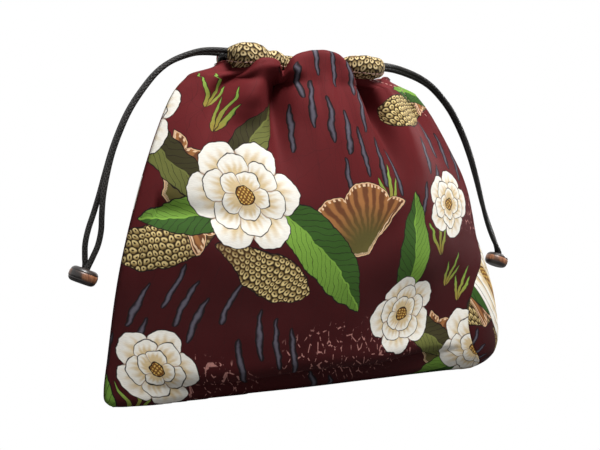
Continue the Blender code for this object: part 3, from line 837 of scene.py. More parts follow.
def draw_twigs(net, base, cloth, flat, centre, reach, colour):
    """A patch of fine broken twigs."""
    x, y = motif_place(net, cloth, centre)
    far = centre_distance(net, net.math("DIVIDE", x, reach[0]), net.math("DIVIDE", y, reach[1]))
    cells = net.node("ShaderNodeTexVoronoi", feature="DISTANCE_TO_EDGE")
    net.feed(cells.inputs["Vector"], net.vector("MULTIPLY", flat, (0.20, 0.11, 0.0)))
    cells.inputs["Scale"].default_value = 1.0
    line = net.ramp(cells.outputs["Distance"], 0.050, 0.022)
    broken = net.ramp(net.noise(flat, 0.30, 2.0), 0.50, 0.56)
    shown = net.math("MULTIPLY", net.math("MULTIPLY", line, broken), net.ramp(far, 1.0, 0.75))
    return net.colour(net.math("MULTIPLY", shown, 0.9), base, colour)


def draw_sprig(net, base, cloth, centre, turn, length):
    """A small tuft of thin grass blades from one root."""
    for lean, share in ((-24, 0.72), (3, 1.0), (27, 0.8)):
        x, y = motif_place(net, cloth, centre, turn + lean)
        bend = net.math("MULTIPLY", net.math("MULTIPLY", x, x), 0.004 if lean > 0 else -0.004)
        depth = leaf_depth(net, (x, net.math("ADD", y, bend)), length * share, 1.5, 0.45)
        colour = net.colour(net.ramp(x, 0.0, length * share), GRASS_ROOT, GRASS)
        base = inked(net, base, depth, colour, 0.2)
    return base


print("leaf motifs ready")

# %% [markdown]
# ## Blossoms, cones and fans
# A blossom is three rings of lobes round its centre, the outer ring drawn first. A seed cone is a leaf
# outline filled with rows of small rings, and a fan is a lobed sector with fine rays and a dotted rim.

# %% Blossoms, cones and fans


def draw_blossom(net, base, cloth, centre, radius, petals, turn=0.0):
    """Three rings of overlapping petals round a dotted golden centre."""
    x, y = motif_place(net, cloth, centre, turn)
    reach = centre_distance(net, x, y)
    angle = net.math("ARCTAN2", y, x)
    for share, count, shift in ((1.0, petals, 0.0), (0.72, petals, 1.0), (0.45, petals - 1, 0.4)):
        swing = net.math("MULTIPLY_ADD", angle, count / 2, shift)
        lobe = net.math("ABSOLUTE", net.math("COSINE", swing))
        lobe = net.math("POWER", lobe, 0.55)
        size = radius * share
        outline = net.math("MULTIPLY_ADD", lobe, 0.27 * size, 0.73 * size)
        depth = net.math("SUBTRACT", outline, reach)
        streak = net.math("SINE", net.math("MULTIPLY", angle, count * 5.0))
        inner = net.math("MULTIPLY_ADD", streak, 0.06 * size, depth)
        petal = net.colour(net.ramp(inner, 0.10 * size, 0.42 * size), PETAL, PETAL_HEART)
        petal = net.colour(net.ramp(lobe, 0.42, 0.0), petal, PETAL_GAP)
        base = inked(net, base, depth, petal, 0.35)
    heart = net.math("SUBTRACT", radius * 0.17, reach)
    spots = net.math("MULTIPLY", net.math("SINE", net.math("MULTIPLY", x, 2.6)),
                     net.math("SINE", net.math("MULTIPLY", y, 2.6)))
    gold = net.colour(net.ramp(spots, 0.1, 0.5), STAMEN_BROWN, STAMEN_GOLD)
    return inked(net, base, heart, gold, 0.4)


def draw_dots(net, x, y, pitch, light, middle, dark):
    """Rows of small rings, each row half a step aside, as on a pine cone."""
    row = net.math("ROUND", net.math("DIVIDE", y, pitch * 0.86))
    odd = net.math("MODULO", net.math("ABSOLUTE", row), 2.0)
    across = net.math("DIVIDE", net.math("MULTIPLY_ADD", odd, pitch / 2, x), pitch)
    dx = net.math("MULTIPLY", net.math("SUBTRACT", across, net.math("ROUND", across)), pitch)
    dy = net.math("MULTIPLY_ADD", row, -pitch * 0.86, y)
    far = centre_distance(net, dx, dy)
    ring = net.band(far, pitch * 0.27, pitch * 0.08, pitch * 0.06)
    shade = net.colour(net.ramp(far, pitch * 0.52, pitch * 0.36), dark, middle)
    shade = net.colour(net.math("MULTIPLY", ring, net.ramp(dy, -pitch * 0.4, pitch * 0.15)), shade, light)
    return net.colour(net.ramp(far, pitch * 0.15, pitch * 0.08), shade, dark)


def draw_cone(net, base, cloth, centre, turn, length, width):
    """A long seed cone covered in golden rings."""
    place = motif_place(net, cloth, centre, turn)
    depth = leaf_depth(net, place, length, width)
    colour = draw_dots(net, *place, RING_PITCH, *CONE_RINGS)
    far = net.ramp(place[0], length * 0.55, length)
    colour = net.colour(net.math("MULTIPLY", far, 0.6), colour, CONE_TIP)
    return inked(net, base, depth, colour)


def draw_fan(net, base, cloth, centre, turn, radius):
    """A fan-shaped leaf in ochre and brown, with a pale dotted rim."""
    x, y = motif_place(net, cloth, centre, turn)
    reach = centre_distance(net, x, y)
    angle = net.math("ARCTAN2", y, x)
    wave = net.math("ABSOLUTE", net.math("SINE", net.math("MULTIPLY", angle, 3.5)))
    outline = net.math("MULTIPLY_ADD", net.math("POWER", wave, 0.5), 0.16 * radius, 0.84 * radius)
    arm = net.math("MULTIPLY", net.math("SUBTRACT", 1.22, net.math("ABSOLUTE", angle)), reach)
    depth = net.math("MINIMUM", net.math("SUBTRACT", outline, reach), arm)
    ray = net.math("SINE", net.math("MULTIPLY", angle, 34.0))
    colour = net.colour(net.ramp(ray, -0.6, 0.8), *FAN_RAYS)
    colour = net.colour(net.ramp(reach, radius * 0.8, radius * 0.25), colour, FAN_HEART)
    dots = net.math("SINE", net.math("MULTIPLY", angle, 2.1 * radius))
    rim = net.math("MULTIPLY", net.band(depth, 1.9, 0.5, 0.4), net.ramp(dots, -0.2, 0.4))
    colour = net.colour(rim, colour, FAN_DOTS)
    edge = net.band(depth, 0.75, 0.25, 0.25)
    colour = net.colour(edge, colour, FAN_RIM)
    return inked(net, base, depth, colour, 0.3)


print("blossom, cone and fan motifs ready")

# %% [markdown]
# ## Weave and cloth materials
# Under the print lies a tight plain weave. Its two threads cross every third of a millimetre. At this size
# it shows as a soft grain, so it goes into the bump and a little into the colour.

# %% Weave
THREAD_PITCH = (0.36, 0.34)


def cloth_coordinates(net):
    """Millimetres along and up the flat cloth, with a slight waver as of a hand-drawn line."""
    uv = net.node("ShaderNodeUVMap", uv_map="cloth").outputs[0]
    flat = net.vector("SCALE", uv, scale=1000.0)
    waver = net.node("ShaderNodeTexNoise")
    net.feed(waver.inputs["Vector"], flat)
    waver.inputs["Scale"].default_value = 0.11
    waver.inputs["Detail"].default_value = 2.0
    moved = net.vector("SUBTRACT", waver.outputs["Color"], (0.5, 0.5, 0.5))
    drawn = net.vector("ADD", flat, net.vector("SCALE", moved, scale=5.0))
    return net.parts(flat), net.parts(drawn), flat


def finish_cloth(net, shader, colour, plain, flat, roughness):
    """Adds weave, slubs and a worn softness to a printed colour."""
    warp = net.math("SINE", net.math("MULTIPLY", plain[0], math.tau / THREAD_PITCH[0]))
    weft = net.math("SINE", net.math("MULTIPLY", plain[1], math.tau / THREAD_PITCH[1]))
    weave = net.math("MULTIPLY", warp, weft)
    slub = net.noise(net.vector("MULTIPLY", flat, (0.35, 2.4, 1.0)), 1.0, 3.0)
    patch = net.noise(flat, 0.045, 3.0)
    shade = net.math("MULTIPLY_ADD", weave, 0.035, net.ramp(slub, 0.3, 0.7, 0.93, 1.05))
    shade = net.math("MULTIPLY", shade, net.ramp(patch, 0.3, 0.7, 0.98, 1.02))
    tinted = net.vector("SCALE", colour, scale=shade)
    net.feed(shader.inputs["Base Color"], tinted)
    net.feed(shader.inputs["Roughness"], net.ramp(slub, 0.3, 0.7, roughness - 0.05, roughness + 0.05))
    height = net.math("MULTIPLY_ADD", slub, 0.6, net.math("MULTIPLY", weave, 0.4))
    net.feed(shader.inputs["Normal"], net.bump(height, 0.10 * MM, 0.55))
    shader.inputs["Specular IOR Level"].default_value = 0.14


print("threads every", THREAD_PITCH, "mm")

# %% [markdown]
# ## Laying out the print
# The motifs are laid over the burgundy ground from the back to the front: twigs first, then blades, grass,
# cones, fans and leaves, and the white blossoms last. The ground gets painted shade: it grows darker from
# the shoulders down to the foot, as the real pouch looks in its light, because the lamps alone leave the
# lower half too bright.

# %% Cloth materials


def make_printed_cloth():
    material, net, shader = new_material("printed_cloth")
    plain, cloth, flat = cloth_coordinates(net)
    base = net.colour(net.ramp(net.noise(flat, 0.02, 1.0), 0.3, 0.7), DEEP_BURGUNDY, BURGUNDY)
    # Painted shade on the ground only: its colour falls by height, from full at the shoulders to 0.36 at the
    # foot.
    height = net.parts(net.node("ShaderNodeTexCoord").outputs["Object"])[2]
    base = net.vector("SCALE", base, scale=net.ramp(height, 0.055, 0.155, 0.36, 1.0))
    for centre, reach in (((18, 38), (54, 22)), ((-66, 22), (30, 16))):
        base = draw_twigs(net, base, cloth, flat, centre, reach, TWIG)
    for centre, turn, count, pitch, length in (
        ((-4, 174), -4, 5, 11.0, 27.0), ((4, 206), 4, 4, 11.5, 24.0), ((26, 150), 6, 4, 12.0, 30.0),
        ((-84, 62), -10, 5, 11.0, 26.0), ((-30, 46), 8, 4, 10.0, 28.0), ((82, 128), -14, 4, 10.5, 27.0),
    ):
        base = draw_blades(net, base, cloth, centre, turn, count, pitch, length, 2.1)
    for centre, turn, length in (
        ((74, 92), 98, 30), ((88, 70), 80, 24), ((-76, 156), 84, 26), ((30, 124), 92, 24),
    ):
        base = draw_sprig(net, base, cloth, centre, turn, length)
    for centre, turn, length, width in (((-18, 74), 160, 62, 12.0), ((48, 178), 20, 58, 12.0)):
        base = draw_cone(net, base, cloth, centre, turn, length, width)
    base = draw_fan(net, base, cloth, (14, 96), 118, 42.0)
    base = draw_fan(net, base, cloth, (74, 20), 10, 36.0)
    for centre, turn, length, width in (
        ((-48, 122), -32, 88, 15.0), ((-62, 120), 205, 58, 12.0), ((54, 66), 100, 66, 12.5),
    ):
        base = draw_leaf(net, base, cloth, centre, turn, length, width, GREEN, DEEP_GREEN)
    for centre, turn, length, width in (((-64, 130), 74, 56, 10.0), ((58, 50), -28, 60, 11.0)):
        base = draw_leaf(net, base, cloth, centre, turn, length, width, OLIVE, DEEP_OLIVE)
    for centre, radius, petals, turn in (
        ((-60, 124), 31.0, 6, 10.0), ((54, 56), 25.0, 5, 40.0), ((-94, 26), 22.0, 5, 0.0),
    ):
        base = draw_blossom(net, base, cloth, centre, radius, petals, turn)
    finish_cloth(net, shader, base, plain, flat, 0.74)
    return material


def make_casing_cloth():
    """The strip is cut from a busier part of the same print: golden rings on dark olive."""
    material, net, shader = new_material("casing_cloth")
    plain, cloth, flat = cloth_coordinates(net)
    rings = draw_dots(net, cloth[0], cloth[1], RING_PITCH, *CASING_RINGS)
    patch = net.noise(flat, 0.03, 1.0)
    base = net.colour(net.ramp(patch, 0.3, 0.7), DEEP_BURGUNDY, BURGUNDY)
    base = net.colour(net.ramp(patch, 0.36, 0.375), base, rings)
    finish_cloth(net, shader, base, plain, flat, 0.74)
    return material


def make_reverse():
    """The unprinted reverse, where the dye shows through paler."""
    material, net, shader = new_material("cloth_reverse")
    plain, _, flat = cloth_coordinates(net)
    base = net.colour(net.ramp(net.noise(flat, 0.05, 2.0), 0.35, 0.65), *REVERSE_TONES)
    finish_cloth(net, shader, base, plain, flat, 0.8)
    return material


PRINTED_CLOTH = make_printed_cloth()
CASING_CLOTH_MATERIAL = make_casing_cloth()
REVERSE = make_reverse()
print("printed cloth nodes:", len(PRINTED_CLOTH.node_tree.nodes))

# %% [markdown]
# ## Front and back panels
# Each panel is one row of points after another, from the seam under the base, up the wall and into the
# gathered neck. A section is such a row at one height: a full curve between the two side seams, with the
# long folds added to it. A cloth simulation would find folds of its own, and here they have to stand where
# the real ones do, so the rows are drawn by formulas.

# %% Panel sections


def tip_shape(part):
    """How full a section is beside a side seam, from 0 at the seam to 1 in the middle."""
    return np.sin(math.pi / 2 * np.minimum(1.0, 2 * part)) ** 0.75


def long_folds(folds, across, height):
    """Outward amount of the folds that run down from the gathers."""
    total = sum(amount * smooth_step(low, 0.168, height) * np.exp(-((across - place) / width) ** 2)
                for place, width, amount, low in folds)
    return total * np.minimum(1.0, 8 * across * (1 - across))


def right_seam(height):
    """X and Y of the right side seam at a height."""
    turn, bulge = end_turn(height), end_bulge(height)
    return right_edge(height) - bulge + bulge * np.cos(turn), -front_seam_depth(height) * np.sin(turn)


def front_section(across, height):
    """X and Y of the front panel's inner face at a height."""
    left = left_edge(height)
    right, seam_y = right_seam(height)
    seam_depth = -seam_y
    right = right - SEAM_GAP / 2
    roundness = min(1.0, seam_depth / 0.0140)
    soft_fall = (1 + np.cos(math.pi * np.maximum(0.0, 2 * across - 1))) / 2
    fall = roundness * soft_fall + (1 - roundness) * tip_shape(1 - across)
    inside = tip_shape(across) * (front_depth(height) * fall + seam_depth * (1 - fall))
    inside = inside + long_folds(FRONT_FOLDS, across, height)
    return left + (right - left) * across, -SEAM_GAP / 2 - inside


def back_section(across, height):
    """X and Y of the back panel's inner face, which turns round the stuffed right end."""
    left, bulge = left_edge(height), end_bulge(height)
    middle = right_edge(height) - bulge
    seam_depth = back_seam_depth(height)
    part = np.minimum(1.0, across / BACK_MAIN_SHARE)
    fall = np.cos(math.pi / 2 * np.maximum(0.0, 2 * part - 1))
    inside = tip_shape(part) * (back_depth(height) * fall + seam_depth * (1 - fall))
    inside = inside + long_folds(BACK_FOLDS, part, height)
    share = np.clip((across - BACK_MAIN_SHARE) / (1 - BACK_MAIN_SHARE), 0.0, 1.0)
    turn = math.pi / 2 - (math.pi / 2 + end_turn(height)) * share
    reach = np.where(turn > 0, seam_depth, front_seam_depth(height))
    ended = share > 0
    x = np.where(ended, middle + SEAM_GAP / 2 * share + bulge * np.cos(turn), left + (middle - left) * part)
    y = np.where(ended, reach * np.sin(turn), inside)
    return x, SEAM_GAP / 2 + y


print("front at half height:", np.round(front_section(np.array([0.0, 0.5, 1.0]), 0.09)[1] * 1000, 1), "mm")

# %% [markdown]
# ## Rows of a panel
# A few rows carry the shape, and smooth curves fill in between. Near the top the rows are drawn in to the
# neck. On the front the cloth climbs first, rolls over into its humps and then dips behind them to the seam
# of the casing.

# %% Panel rows
PANEL_COLUMNS = 190
ROW_STEP = 1.5 * MM


def neck_line(across):
    """X along the gathered edge."""
    return NECK_ENDS[0] + (NECK_ENDS[1] - NECK_ENDS[0]) * across


def wall_row(section, neck, side, across, height):
    """A row up the wall. Near the top it is drawn in to the neck, but not where the cloth humps forward."""
    x, y = section(across, height)
    gathered = smooth_step(0.162, NECK_HEIGHT, height)
    top_x, top_y = section(across, NECK_HEIGHT)
    neck_x = neck_line(across)
    drawn_in = gathered * (1 - hump_out(neck_x) if side < 0 else 1.0)
    x = x + (neck_x - top_x) * gathered
    y = y + (neck(neck_x) - top_y) * drawn_in
    return np.stack([x, y, np.full_like(x, height + CLOTH)], axis=1)


def panel_rows(section, neck, side, across):
    """The rows that carry a panel's shape, from the base seam to the gathered edge."""
    seam_start = LEFT_EDGE[0][1]
    seam_x = seam_start + (BASE_SEAM_END[0] - seam_start) * across
    seam_y = BASE_SEAM_END[1] * across + side * SEAM_GAP / 2
    foot_x, foot_y = section(across, 0.0)
    corner = np.maximum(0.0, 1 - across / 0.05) ** 2 * CORNER_RISE
    rows = []
    for share in BASE_SHARES:
        rows.append(np.stack([seam_x + (foot_x - seam_x) * share, seam_y + (foot_y - seam_y) * share,
                              CLOTH + corner * share], axis=1))
    rows += [wall_row(section, neck, side, across, height) for height in WALL_HEIGHTS]
    low = rows[-1]
    edge_x = neck_line(across)
    edge_y = neck(edge_x)
    steps = len(HUMP_PATH) + 1
    for step in range(1, steps + 1):
        part = step / steps
        drawn = smooth_step(0.0, 0.85, part)
        x = low[:, 0] + (edge_x - low[:, 0]) * drawn
        y = low[:, 1] + (edge_y - low[:, 1]) * drawn
        z = low[:, 2] + (NECK_HEIGHT + edge_rise(edge_x) - low[:, 2]) * part
        if side < 0:
            out, rise = hump_out(x), hump_rise(x)
            humped = np.minimum(1.0, rise / HUMP_FULL)
            outward, upward = HUMP_PATH[step - 1] if step < steps else HUMP_END
            rolled_y = hump_rear(x) - HUMP_DEPTH * outward if step < steps else edge_y
            y = y + (rolled_y - y) * out
            z = z + (NECK_HEIGHT + rise * upward - z) * humped * out
        rows.append(np.stack([x, y, z], axis=1))
    return np.array(rows)


def fill_rows(rows, step):
    """Smooth curves through the rows, with points at most about one step apart."""
    spans = np.maximum(1e-6, np.linalg.norm(np.diff(rows, axis=0), axis=2, keepdims=True))
    filled = []
    for i, span in enumerate(spans):
        start, end = rows[i], rows[i + 1]
        pull_first = pull_last = end - start
        if i:
            pull_first = (end - rows[i - 1]) * span / (span + spans[i - 1])
        if i < len(spans) - 1:
            pull_last = (rows[i + 2] - start) * span / (span + spans[i + 1])
        count = max(1, round(float(np.percentile(span, 95)) / step))
        for t in np.arange(count) / count:
            filled.append(start * (2 * t**3 - 3 * t**2 + 1) + pull_first * (t**3 - 2 * t**2 + t)
                          + end * (3 * t**2 - 2 * t**3) + pull_last * (t**3 - t**2))
    filled.append(rows[-1])
    filled = np.array(filled)
    filled[:, :, 2] = np.maximum(filled[:, :, 2], CLOTH)
    return filled


def flat_places(points, start):
    """Where each point lies on the flat cloth: along its row from the middle, and up its column."""
    along = np.linalg.norm(np.diff(points, axis=1), axis=2)
    along = np.concatenate([np.zeros((len(points), 1)), np.cumsum(along, axis=1)], axis=1)
    along -= along[:, [points.shape[1] // 2]]
    up = np.linalg.norm(np.diff(points, axis=0), axis=2)
    up = np.concatenate([np.zeros((1, points.shape[1])), np.cumsum(up, axis=0)])
    return np.stack([along + start[0], up + start[1]], axis=2)


print("rows every", ROW_STEP * 1000, "mm,", PANEL_COLUMNS, "columns")

# %% [markdown]
# ## Small folds and the foot
# Small pleats fan out of the gathers, slack ripples cross the wall, and a crease runs along the foot where
# the stuffed cloth hangs over. They are too fine for tables of rows, so they move the points along their
# normals.

# %% Small folds and the foot
PLEAT, SLACK, RIPPLE = 0.0016, 0.0026, 0.0007
CREASE_HEIGHT, CREASE_CLIMB, CREASE_WAVE = 0.0095, 0.0070, 0.0010
CREASE_DEPTH, CREASE_WIDTH = 0.0024, 0.0014
OVERHANG, OVERHANG_HEIGHT, OVERHANG_WIDTH = 0.0012, 0.0055, 0.0060
FOOT_INSET, FOOT_EDGE = 0.0022, 0.0015


def small_folds(points, across, seed):
    """Fine pleats below the gathers and slack ripples in the wall, as outward amounts."""
    amounts = np.zeros(points.shape[:2])
    for j in range(points.shape[0]):
        height = float(np.median(points[j, :, 2]))
        pleat_fade = smooth_step(0.128, 0.176, height) * (1 - smooth_step(0.1775, 0.1815, height))
        slack_fade = smooth_step(0.012, 0.040, height) * (1 - smooth_step(0.150, 0.175, height))
        if pleat_fade + slack_fade == 0:
            continue
        for i, share in enumerate(across):
            x, _, z = points[j, i]
            pleat = noise.noise(Vector((share * 27, z * 9, seed)))
            slack = noise.noise(Vector((x * 12 + z * 5, z * 8 - x * 3, seed + 5)))
            fine = noise.noise(Vector((x * 40 + z * 26, z * 22, seed + 9)))
            amounts[j, i] = PLEAT * pleat * pleat_fade + (SLACK * slack + RIPPLE * fine) * slack_fade
    return amounts * np.minimum(1.0, 9 * across * (1 - across))


def slack_forms(points):
    """The broad hollows and swells as outward amounts."""
    amounts = np.zeros(points.shape[:2])
    for x, z, reach, width, tilt, amount in FRONT_SLACK:
        cos, sin = math.cos(math.radians(tilt)), math.sin(math.radians(tilt))
        aside, up = points[:, :, 0] - x, points[:, :, 2] - z
        along, over = aside * cos + up * sin, up * cos - aside * sin
        amounts += amount * np.exp(-(along / reach) ** 2 - (over / width) ** 2)
    return amounts


def foot_crease(points, across):
    """The front hangs over its own foot: a sharp crease just above the base."""
    height = points[:, :, 2]
    line = (CREASE_HEIGHT + CREASE_CLIMB * across + CREASE_WAVE * np.sin(across * 17.0))[None, :]
    dip = -CREASE_DEPTH * np.exp(-((height - line) / CREASE_WIDTH) ** 2)
    over = OVERHANG * np.exp(-((height - line - OVERHANG_HEIGHT) / OVERHANG_WIDTH) ** 2)
    inset = -FOOT_INSET * np.clip((line - height) / FOOT_EDGE, 0, 1)
    ends = np.clip((across - 0.08) / 0.20, 0, 1) * np.clip((0.97 - across) / 0.1, 0, 1)
    return (dip + over + inset) * ends


print("broad hollows and swells:", len(FRONT_SLACK))

# %% [markdown]
# ## Sewing the panels
# Rows, folds and thickness come together here, once for the front and once for the back. The back starts at
# another place of the repeat, as a second piece cut from the same cloth would.

# %% Both panels


def make_panel(name, section, neck, side, start):
    across = np.linspace(0.0, 1.0, PANEL_COLUMNS)
    points = fill_rows(panel_rows(section, neck, side, across), ROW_STEP)
    if side > 0:
        points = points[:, ::-1]
        across = across[::-1]
    amounts = small_folds(points, across, 3.0 if side < 0 else 17.0)
    if side < 0:
        amounts += (foot_crease(points, across) + slack_forms(points)) * (points[:, :, 1] < -0.006)
    points = points + grid_normals(points, False) * amounts[:, :, None]
    points[:, :, 2] = np.maximum(points[:, :, 2], CLOTH)
    points += np.array(PLAN_SHIFT)
    panel = thick_sheet(name, points, flat_places(points, start), CLOTH, (PRINTED_CLOTH, REVERSE))
    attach(panel, "root")
    return panel, points


FRONT, FRONT_POINTS = make_panel("front_printed_panel", front_section, front_neck, -1, (0.0, 0.0))
BACK, BACK_POINTS = make_panel("back_printed_panel", back_section, back_neck, 1, (0.061, 0.037))
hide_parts("front_panel")
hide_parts("back_panel")
print("front grid", FRONT_POINTS.shape[:2], "back grid", BACK_POINTS.shape[:2])

# %% [markdown]
# ## Casings
# The strip along the top of each panel is a tunnel for the cords. Pulled together, it stands up in soft
# lumps between the folds. The tables give the height of its upper and lower edge and how far it swells
# outwards. The front has a lump at each end, and between them the humps of the panel stand before it.

# %% Casings
CASING_STATIONS = 170
CASING_SIDES = 44
FRONT_TOP = [
    (-0.0560, 0.1936), (-0.0505, 0.1952), (-0.0430, 0.1946), (-0.0375, 0.1920), (-0.0320, 0.1926),
    (-0.0240, 0.1905), (-0.0120, 0.1916), (0.0050, 0.1918), (0.0120, 0.1930), (0.0200, 0.1946),
    (0.0290, 0.1943), (0.0345, 0.1941), (0.0385, 0.1938),
]
FRONT_BOTTOM = [
    (-0.0560, 0.1832), (-0.0505, 0.1808), (-0.0420, 0.1812), (-0.0310, 0.1820), (0.0150, 0.1820),
    (0.0230, 0.1808), (0.0310, 0.1812), (0.0385, 0.1838),
]
FRONT_SWELL = [
    (-0.0560, 0.0042), (-0.0505, 0.0074), (-0.0430, 0.0052), (-0.0375, 0.0040), (-0.0320, 0.0054),
    (-0.0240, 0.0036), (-0.0100, 0.0038), (0.0120, 0.0046), (0.0190, 0.0066), (0.0260, 0.0078),
    (0.0330, 0.0066), (0.0385, 0.0036),
]
BACK_TOP = [
    (-0.0560, 0.1946), (-0.0440, 0.1964), (-0.0290, 0.1948), (-0.0130, 0.1966), (0.0030, 0.1950),
    (0.0180, 0.1960), (0.0310, 0.1946), (0.0385, 0.1940),
]
BACK_BOTTOM = [(-0.0560, 0.1830), (-0.0420, 0.1815), (0.0310, 0.1815), (0.0385, 0.1836)]
BACK_SWELL = [
    (-0.0560, 0.0040), (-0.0430, 0.0068), (-0.0280, 0.0046), (-0.0130, 0.0070), (0.0030, 0.0048),
    (0.0180, 0.0070), (0.0310, 0.0048), (0.0385, 0.0036),
]


def make_casing(name, neck, outward, tables, seed, start):
    """A soft tunnel: at each station a rounded loop between its lower and its upper edge."""
    top, bottom, swell = (curve_through(table) for table in tables)
    turns = math.tau * (np.arange(CASING_SIDES) + 0.5) / CASING_SIDES
    cos, sin = np.cos(turns), np.sin(turns)
    square = np.sign(cos) * np.abs(cos) ** 0.75, np.sign(sin) * np.abs(sin) ** 0.75
    rows = []
    for x in np.linspace(*CASING_ENDS, CASING_STATIONS):
        y, along_x, along_y = casing_station(neck, x)
        half = (top(x) - bottom(x)) / 2 - CASING_CLOTH
        reach = np.where(cos * outward > 0, swell(x), CASING_DEPTH / 2) - CASING_CLOTH
        pleats = np.array([noise.noise(Vector((x * 260, 1.4 * s, seed))) for s in sin])
        low_pinch = 1 - 0.45 * np.clip(-sin, 0, 1) ** 1.5
        across = square[0] * (reach * low_pinch + 0.0005 * pleats)
        up = square[1] * (half + 0.0003 * pleats)
        middle = (top(x) + bottom(x)) / 2
        rows.append(np.stack([x - along_y * across, y + along_x * across, middle + up], axis=1))
    points = np.array(rows) + np.array(PLAN_SHIFT)
    places = flat_places(np.concatenate([points, points[:, :1]], axis=1).transpose(1, 0, 2), start)
    places = places.transpose(1, 0, 2)[:, :-1]
    casing = thick_sheet(name, points, places, CASING_CLOTH, (CASING_CLOTH_MATERIAL, REVERSE), True)
    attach(casing, "root")
    return casing, points


FRONT_CASING, FRONT_CASING_POINTS = make_casing(
    "front_gathered_casing", front_neck, -1, (FRONT_TOP, FRONT_BOTTOM, FRONT_SWELL), 2.0, (0.0, 0.0))
BACK_CASING, BACK_CASING_POINTS = make_casing(
    "back_gathered_casing", back_neck, 1, (BACK_TOP, BACK_BOTTOM, BACK_SWELL), 8.0, (0.09, 0.05))
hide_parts("front_casing")
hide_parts("back_casing")
print("casings", FRONT_CASING_POINTS.shape[:2])

# %% [markdown]
# ## Flat sizes
# Each panel and casing was cut flat before it was gathered, and its flat size is listed beside it. The
# printed area shows how much of the flat cloth the gathered piece still covers.

# %% Flat sizes


def sheet_area(points):
    """Area of one face of a cloth from its grid of points."""
    across = np.diff(points, axis=1)[:-1]
    up = np.diff(points, axis=0)[:, :-1]
    return float(np.linalg.norm(np.cross(across, up), axis=2).sum())


for piece, points, flat in (
    (FRONT, FRONT_POINTS, (0.262, 0.205)), (BACK, BACK_POINTS, (0.300, 0.205)),
    (FRONT_CASING, FRONT_CASING_POINTS, (0.100, 0.040)), (BACK_CASING, BACK_CASING_POINTS, (0.100, 0.040)),
):
    print(piece.name, "area", round(sheet_area(points), 4), "flat", round(flat[0] * flat[1], 4), "m2")

# %% [markdown]
# ## Stitching
# Pale pink thread shows as short stitches: along the seam that holds each casing, and down the right
# shoulder. One small geometry net resamples a line and sets a stitch on each point, for every row alike.

# %% Stitches
THREAD = 0.45 * MM


def make_thread_material():
    material, net, shader = new_material("pink_thread")
    place = net.node("ShaderNodeTexCoord").outputs["Object"]
    tone = net.noise(place, 400.0, 2.0)
    net.feed(shader.inputs["Base Color"],
             net.colour(net.ramp(tone, 0.3, 0.7), linear(206, 150, 140), linear(236, 196, 184)))
    net.feed(shader.inputs["Roughness"], net.ramp(tone, 0.3, 0.7, 0.55, 0.75))
    return material


THREAD_MATERIAL = make_thread_material()


def stitch_tree():
    """Line in, stitches out: resample, one stretched ball per point, made real."""
    tree = bpy.data.node_groups.new("stitch_row", "GeometryNodeTree")
    tree.interface.new_socket("Geometry", in_out="INPUT", socket_type="NodeSocketGeometry")
    pitch = tree.interface.new_socket("Pitch", in_out="INPUT", socket_type="NodeSocketFloat")
    length = tree.interface.new_socket("Length", in_out="INPUT", socket_type="NodeSocketFloat")
    tree.interface.new_socket("Geometry", in_out="OUTPUT", socket_type="NodeSocketGeometry")
    net = Net(tree)
    given = net.node("NodeGroupInput")
    curve = net.node("GeometryNodeMeshToCurve")
    resample = net.node("GeometryNodeResampleCurve", mode="LENGTH")
    ball = net.node("GeometryNodeMeshUVSphere")
    ball.inputs["Segments"].default_value = 8
    ball.inputs["Rings"].default_value = 6
    ball.inputs["Radius"].default_value = 0.5
    tangent = net.node("GeometryNodeInputTangent")
    turned = net.node("FunctionNodeAlignRotationToVector", axis="Z")
    scale = net.join(THREAD, THREAD, given.outputs["Length"])
    spread = net.node("GeometryNodeInstanceOnPoints")
    real = net.node("GeometryNodeRealizeInstances")
    painted = net.node("GeometryNodeSetMaterial")
    smooth = net.node("GeometryNodeSetShadeSmooth")
    result = net.node("NodeGroupOutput")
    painted.inputs["Material"].default_value = THREAD_MATERIAL
    links = (
        (given.outputs["Geometry"], curve.inputs["Mesh"]), (curve.outputs[0], resample.inputs["Curve"]),
        (given.outputs["Pitch"], resample.inputs["Length"]), (resample.outputs[0], spread.inputs["Points"]),
        (ball.outputs["Mesh"], spread.inputs["Instance"]), (tangent.outputs[0], turned.inputs["Vector"]),
        (turned.outputs[0], spread.inputs["Rotation"]), (scale, spread.inputs["Scale"]),
        (spread.outputs[0], real.inputs[0]), (real.outputs[0], smooth.inputs[0]),
        (smooth.outputs[0], painted.inputs[0]), (painted.outputs[0], result.inputs[0]),
    )
    for source, target in links:
        tree.links.new(source, target)
    return tree, pitch.identifier, length.identifier


STITCH_TREE, PITCH_INPUT, LENGTH_INPUT = stitch_tree()
print("stitch net:", len(STITCH_TREE.nodes), "nodes")

# %% [markdown]
# ## Rows of stitches
# A row needs only the line that it follows. On a casing that line runs low on the outer face, and on the
# shoulder it follows the cloth down from the end of the casing. Both lie just proud of the cloth.

# %% Rows of stitches


def stitch_row(name, path, pitch, length):
    """A row of stitches along a path, as one plain mesh."""
    line = bpy.data.meshes.new(name)
    line.from_pydata([tuple(point) for point in path], [(i, i + 1) for i in range(len(path) - 1)], [])
    row = bpy.data.objects.new(name, line)
    bpy.context.scene.collection.objects.link(row)
    sewn = row.modifiers.new("stitches", "NODES")
    sewn.node_group = STITCH_TREE
    sewn[PITCH_INPUT] = pitch
    sewn[LENGTH_INPUT] = length
    graph = bpy.context.evaluated_depsgraph_get()
    mesh = bpy.data.meshes.new_from_object(row.evaluated_get(graph))
    row.modifiers.remove(sewn)
    row.data = mesh
    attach(row, "root")
    return row


def casing_seam(points, outward):
    """The line of stitches low on a casing's outer face."""
    normals = grid_normals(points, True)
    spots = []
    for loop, away in zip(points, normals):
        middle = (loop[:, 2].max() + loop[:, 2].min()) / 2
        low = np.where(loop[:, 2] < middle - (middle - loop[:, 2].min()) * 0.55)[0]
        i = low[np.argmax(loop[low, 1] * outward)]
        spots.append(loop[i] + away[i] * (CASING_CLOTH + THREAD * 0.25))
    return read_smooth([tuple(spot) for spot in spots[::6]], 220)


